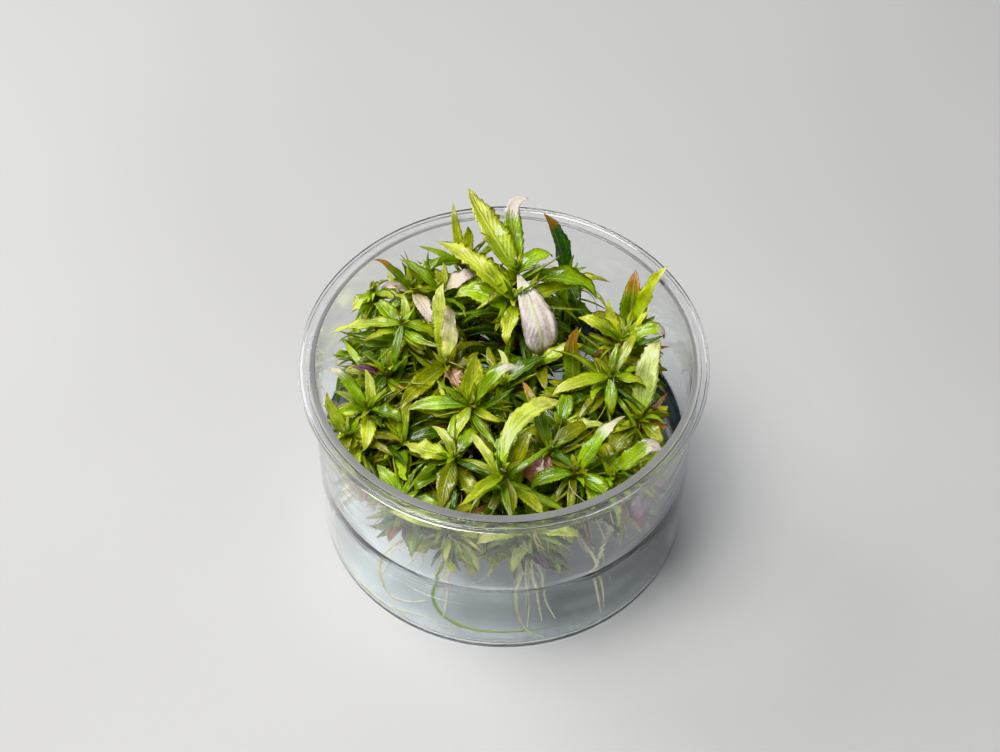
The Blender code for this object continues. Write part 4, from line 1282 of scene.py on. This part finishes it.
def vein_group():
    """Midrib and side veins from the blade's own map: u runs from stem to tip and v across. The side
    veins are where u - slant x |across| meets even steps, and the relief pillows up between them.
    Streaks are noise drawn out along the blade, at a place that is each leaf's own."""
    tree, given, out = new_group(
        "leaf veins",
        {"Map": None, "Own": 0.0, "Pairs": 11.0, "Slant": 0.28},
        ("Rib", "Veins", "Relief", "Across", "Along", "Streaks"),
    )
    along, v, _ = tree.add("ShaderNodeSeparateXYZ", Vector=given["Map"]).outputs
    across = tree.math("ABSOLUTE", tree.math("MULTIPLY_ADD", v, 2.0, -1.0))
    rib = tree.ramp(across, 0.03, 0.14, 1.0, 0.0)
    slanted = tree.math("SUBTRACT", along, tree.times(across, given["Slant"]))
    folded = tree.math("PINGPONG", tree.times(slanted, given["Pairs"]), 0.5)
    line = tree.ramp(folded, 0.0, 0.09, 1.0, 0.0)
    veins = tree.times(line, tree.ramp(across, 0.7, 1.0, 1.0, 0.1))
    pillow = tree.times(tree.ramp(folded, 0.0, 0.5), 0.5)
    relief = tree.math("SUBTRACT", pillow, tree.times(rib, 1.2))
    apart = tree.times(given["Own"], 40.0)
    drawn_out = tree.math("MULTIPLY_ADD", along, 3.0, apart)
    lengthwise = tree.add("ShaderNodeCombineXYZ", X=drawn_out, Y=tree.times(v, 9.0), Z=apart)
    # Besides the relief, the leaf finish uses these streaks as painted sheen: painted highlight and shade
    # streaks.
    streaks = tree.noise(lengthwise.outputs[0], 1.0, 3.0, 0.6)
    relief = tree.math("ADD", relief, tree.times(streaks, 1.6))
    tree.fill(out, Rib=rib, Veins=veins, Relief=relief, Across=across, Along=along, Streaks=streaks)
    return tree.tree


def mottle_group():
    """Broad blotches and fine specks, from noise on the object's own coordinates."""
    tree, given, out = new_group(
        "plant mottle", {"Blotch": 220.0, "Speck": 2200.0}, ("Blotches", "Specks")
    )
    place = tree.place()
    specks = tree.noise(place, given["Speck"], 2.0)
    tree.fill(out, Blotches=tree.noise(place, given["Blotch"]), Specks=specks)
    return tree.tree


def new_material(name):
    made = bpy.data.materials.new(name)
    made.use_nodes = True
    return made, Tree(made.node_tree), made.node_tree.nodes["Principled BSDF"]


def plant_inputs(tree):
    """The tint that each blade, stem and root carries, and its three traits."""
    tint, traits = (
        tree.add("ShaderNodeAttribute", {"attribute_name": label}).outputs["Color"]
        for label in ("tint", "trait")
    )
    return tint, *tree.add("ShaderNodeSeparateColor", Color=traits).outputs


def leaf_material(veins, mottle):
    """Glossy damp blade: its tint, pale ribs, lengthwise streaks that paint sheen into it as light and
    shade, blotches, side veins that stand up in relief, and margins and tips that have browned by the
    leaf's own trait."""
    made, tree, shader = new_material("stellatus_leaf")
    tint, own, browned, vein_share = plant_inputs(tree)
    uv = tree.add("ShaderNodeUVMap", {"uv_map": "along_across"}).outputs[0]
    vein = tree.group(veins, Map=uv, Own=own)
    spots = tree.group(mottle)
    # The tone mixes blotches and specks with painted light and shade streaks of sheen.
    shade = tree.times(
        tree.ramp(spots["Blotches"], 0.3, 0.7, 0.62, 1.30),
        tree.ramp(spots["Specks"], 0.3, 0.7, 0.9, 1.1),
        tree.ramp(vein["Streaks"], 0.30, 0.70, 0.80, 1.22),
    )
    colour = tree.mix(1.0, tint, tree.grey(shade), "MULTIPLY")
    pale = tree.mix(0.5, tint, PALE_GREEN)
    # Painted highlight: the brightest streaks are paled towards PALE_GREEN, a whitish wet sheen.
    colour = tree.mix(tree.ramp(vein["Streaks"], 0.52, 0.78, 0.0, 0.4), colour, pale)
    lines = tree.math("MAXIMUM", vein["Rib"], tree.times(vein["Veins"], 0.4))
    colour = tree.mix(tree.times(lines, vein_share), colour, pale)
    margin = tree.ramp(vein["Across"], 0.75, 1.0)
    end = tree.ramp(vein["Along"], 0.72, 1.0)
    worn = tree.times(tree.math("MAXIMUM", tree.times(margin, 0.5), end), browned)
    worn = tree.times(worn, tree.ramp(spots["Blotches"], 0.35, 0.6), clamp=True)
    relief = tree.math("ADD", vein["Relief"], tree.times(spots["Specks"], 0.35))
    tree.fill(
        shader,
        Base_Color=tree.mix(worn, colour, BROWNED_LEAF),
        Roughness=tree.ramp(spots["Specks"], 0.2, 0.8, 0.16, 0.33),
        Normal=tree.bump(relief, 0.6, 0.00022),
        Coat_Weight=0.5,
        Coat_Roughness=0.08,
        Subsurface_Weight=0.18,
        Subsurface_Radius=(0.5, 0.9, 0.15),
        Subsurface_Scale=0.0012,
    )
    return made


def stem_material(mottle):
    """Woody stem: its tint under reddish brown blotches, with a fine rough relief."""
    made, tree, shader = new_material("stellatus_stem")
    tint = plant_inputs(tree)[0]
    spots = tree.group(mottle, Blotch=500.0)
    tree.fill(
        shader,
        Base_Color=tree.mix(tree.ramp(spots["Blotches"], 0.4, 0.65), tint, BROWNED_STEM),
        Roughness=tree.ramp(spots["Specks"], 0.2, 0.8, 0.35, 0.55),
        Normal=tree.bump(spots["Specks"], 0.5, 0.0002),
    )
    return made


def root_material(mottle):
    """Soft pale root, part of it tanned."""
    made, tree, shader = new_material("stellatus_root")
    tint = plant_inputs(tree)[0]
    spots = tree.group(mottle, Blotch=900.0)
    tree.fill(
        shader,
        Base_Color=tree.mix(tree.ramp(spots["Blotches"], 0.45, 0.7, 0.0, 0.5), tint, TANNED_ROOT),
        Roughness=tree.ramp(spots["Specks"], 0.2, 0.8, 0.4, 0.6),
        Subsurface_Weight=0.2,
        Subsurface_Scale=0.001,
    )
    return made


def lamps_through(tree, shader, clear):
    """Lets a lamp's light pass straight through, as the thin clear wall does, tinted by clear."""
    shadow = tree.add("ShaderNodeLightPath").outputs["Is Shadow Ray"]
    window = tree.add("ShaderNodeBsdfTransparent", Color=clear).outputs[0]
    blend = tree.add("ShaderNodeMixShader", _0=shadow, _1=shader.outputs[0], _2=window)
    tree.fill(tree.nodes["Material Output"], Surface=blend.outputs[0])


def cup_material():
    """Clear polystyrene: faint moulding swirl in the relief, and a fine haze in the roughness."""
    made, tree, shader = new_material("clear_cup_plastic")
    place = tree.place()
    stretched = tree.add("ShaderNodeMapping", Vector=place, Scale=(1.0, 1.0, 6.0)).outputs[0]
    tree.fill(
        shader,
        Base_Color=(0.97, 0.98, 0.985, 1),
        Roughness=tree.ramp(tree.noise(place, 900.0, 2.0), 0.45, 0.75, 0.015, 0.06),
        IOR=1.55,
        Transmission_Weight=1.0,
        Normal=tree.bump(tree.noise(stretched, 60.0), 0.12, 0.0004),
    )
    lamps_through(tree, shader, (0.93, 0.94, 0.95, 1))
    return made


def lip_material():
    """The lip's upper face is rubbed dull, so it scatters some light instead of passing all of it."""
    made, tree, shader = new_material("clear_lip_plastic")
    place = tree.place()
    tree.fill(
        shader,
        Base_Color=tree.grey(tree.ramp(tree.noise(place, 60.0), 0.3, 0.7, 0.58, 0.66)),
        Roughness=tree.ramp(tree.noise(place, 90.0, 2.0), 0.3, 0.7, 0.26, 0.34),
        IOR=1.5,
        Transmission_Weight=0.7,
    )
    return made


def gel_material():
    """Clear agar gel, hardly tinted, with a soft waviness in its surface."""
    made, tree, shader = new_material("agar_gel")
    place = tree.place()
    tree.fill(
        shader,
        Base_Color=(0.95, 0.975, 0.98, 1),
        Roughness=tree.ramp(tree.noise(place, 300.0), 0.4, 0.7, 0.02, 0.09),
        IOR=1.34,
        Transmission_Weight=1.0,
        Normal=tree.bump(tree.noise(place, 180.0), 0.15, 0.0005),
    )
    lamps_through(tree, shader, (0.93, 0.96, 0.965, 1))
    return made


def floor_material():
    """Plain pale grey, hardly uneven."""
    made, tree, shader = new_material("pale_floor")
    shade = tree.ramp(tree.noise(tree.place(), 3.0), 0.3, 0.7, 0.44, 0.48)
    tree.fill(shader, Base_Color=tree.grey(shade), Roughness=0.7)
    return made


# The studio


def make_camera():
    """The pinhole that puts the rim and the base where the photograph shows them."""
    camera = linked("camera", bpy.data.cameras.new("camera"))
    camera.location = np.array(CAMERA_TARGET) * MM + TOWARDS_CAMERA * CAMERA_DISTANCE * MM
    camera.rotation_euler = (math.pi / 2 - math.radians(CAMERA_ELEVATION), 0, 0)
    camera.data.lens = LENS
    camera.data.sensor_width = SENSOR
    camera.data.clip_start = 0.01
    bpy.context.scene.camera = camera


def add_lamp(name, place, power, size, colour):
    """A square soft lamp, turned so that its back looks away from the lamps' target."""
    lamp = bpy.data.lights.new(name, "AREA")
    lamp.energy, lamp.size, lamp.color = power, size, colour
    back = unit(np.subtract(place, LAMP_TARGET))
    right = unit(np.cross((0.0, 0.0, 1.0), back) + (TINY, 0, 0))
    matrix = np.eye(4)
    matrix[:3] = np.column_stack([right, np.cross(back, right), back, place])
    linked(name, lamp).matrix_world = matrix.T.tolist()


def make_studio():
    """A level pale floor, soft lamps and an even pale room light."""
    mesh = bpy.data.meshes.new("floor")
    corners = np.array([(-1, -1, 0), (1, -1, 0), (1, 1, 0), (-1, 1, 0)]) * GROUND_HALF
    mesh.from_pydata(corners.tolist(), [], [(0, 1, 2, 3)])
    mesh.materials.append(floor_material())
    floor = linked("floor", mesh)
    for name, values in LAMPS.items():
        add_lamp(name, *values)
    world = bpy.data.worlds.new("studio")
    world.use_nodes = True
    background = world.node_tree.nodes["Background"]
    background.inputs["Color"].default_value = ROOM_COLOUR
    background.inputs["Strength"].default_value = ROOM_STRENGTH
    bpy.context.scene.world = world
    bpy.context.scene.view_settings.view_transform = "Khronos PBR Neutral"


def main():
    make_camera()
    make_studio()
    mottle = mottle_group()
    finishes = [leaf_material(vein_group(), mottle), stem_material(mottle), root_material(mottle)]
    shoots = make_shoots(finishes)
    make_cup([cup_material(), lip_material()])
    make_gel(shoots, gel_material())


main()
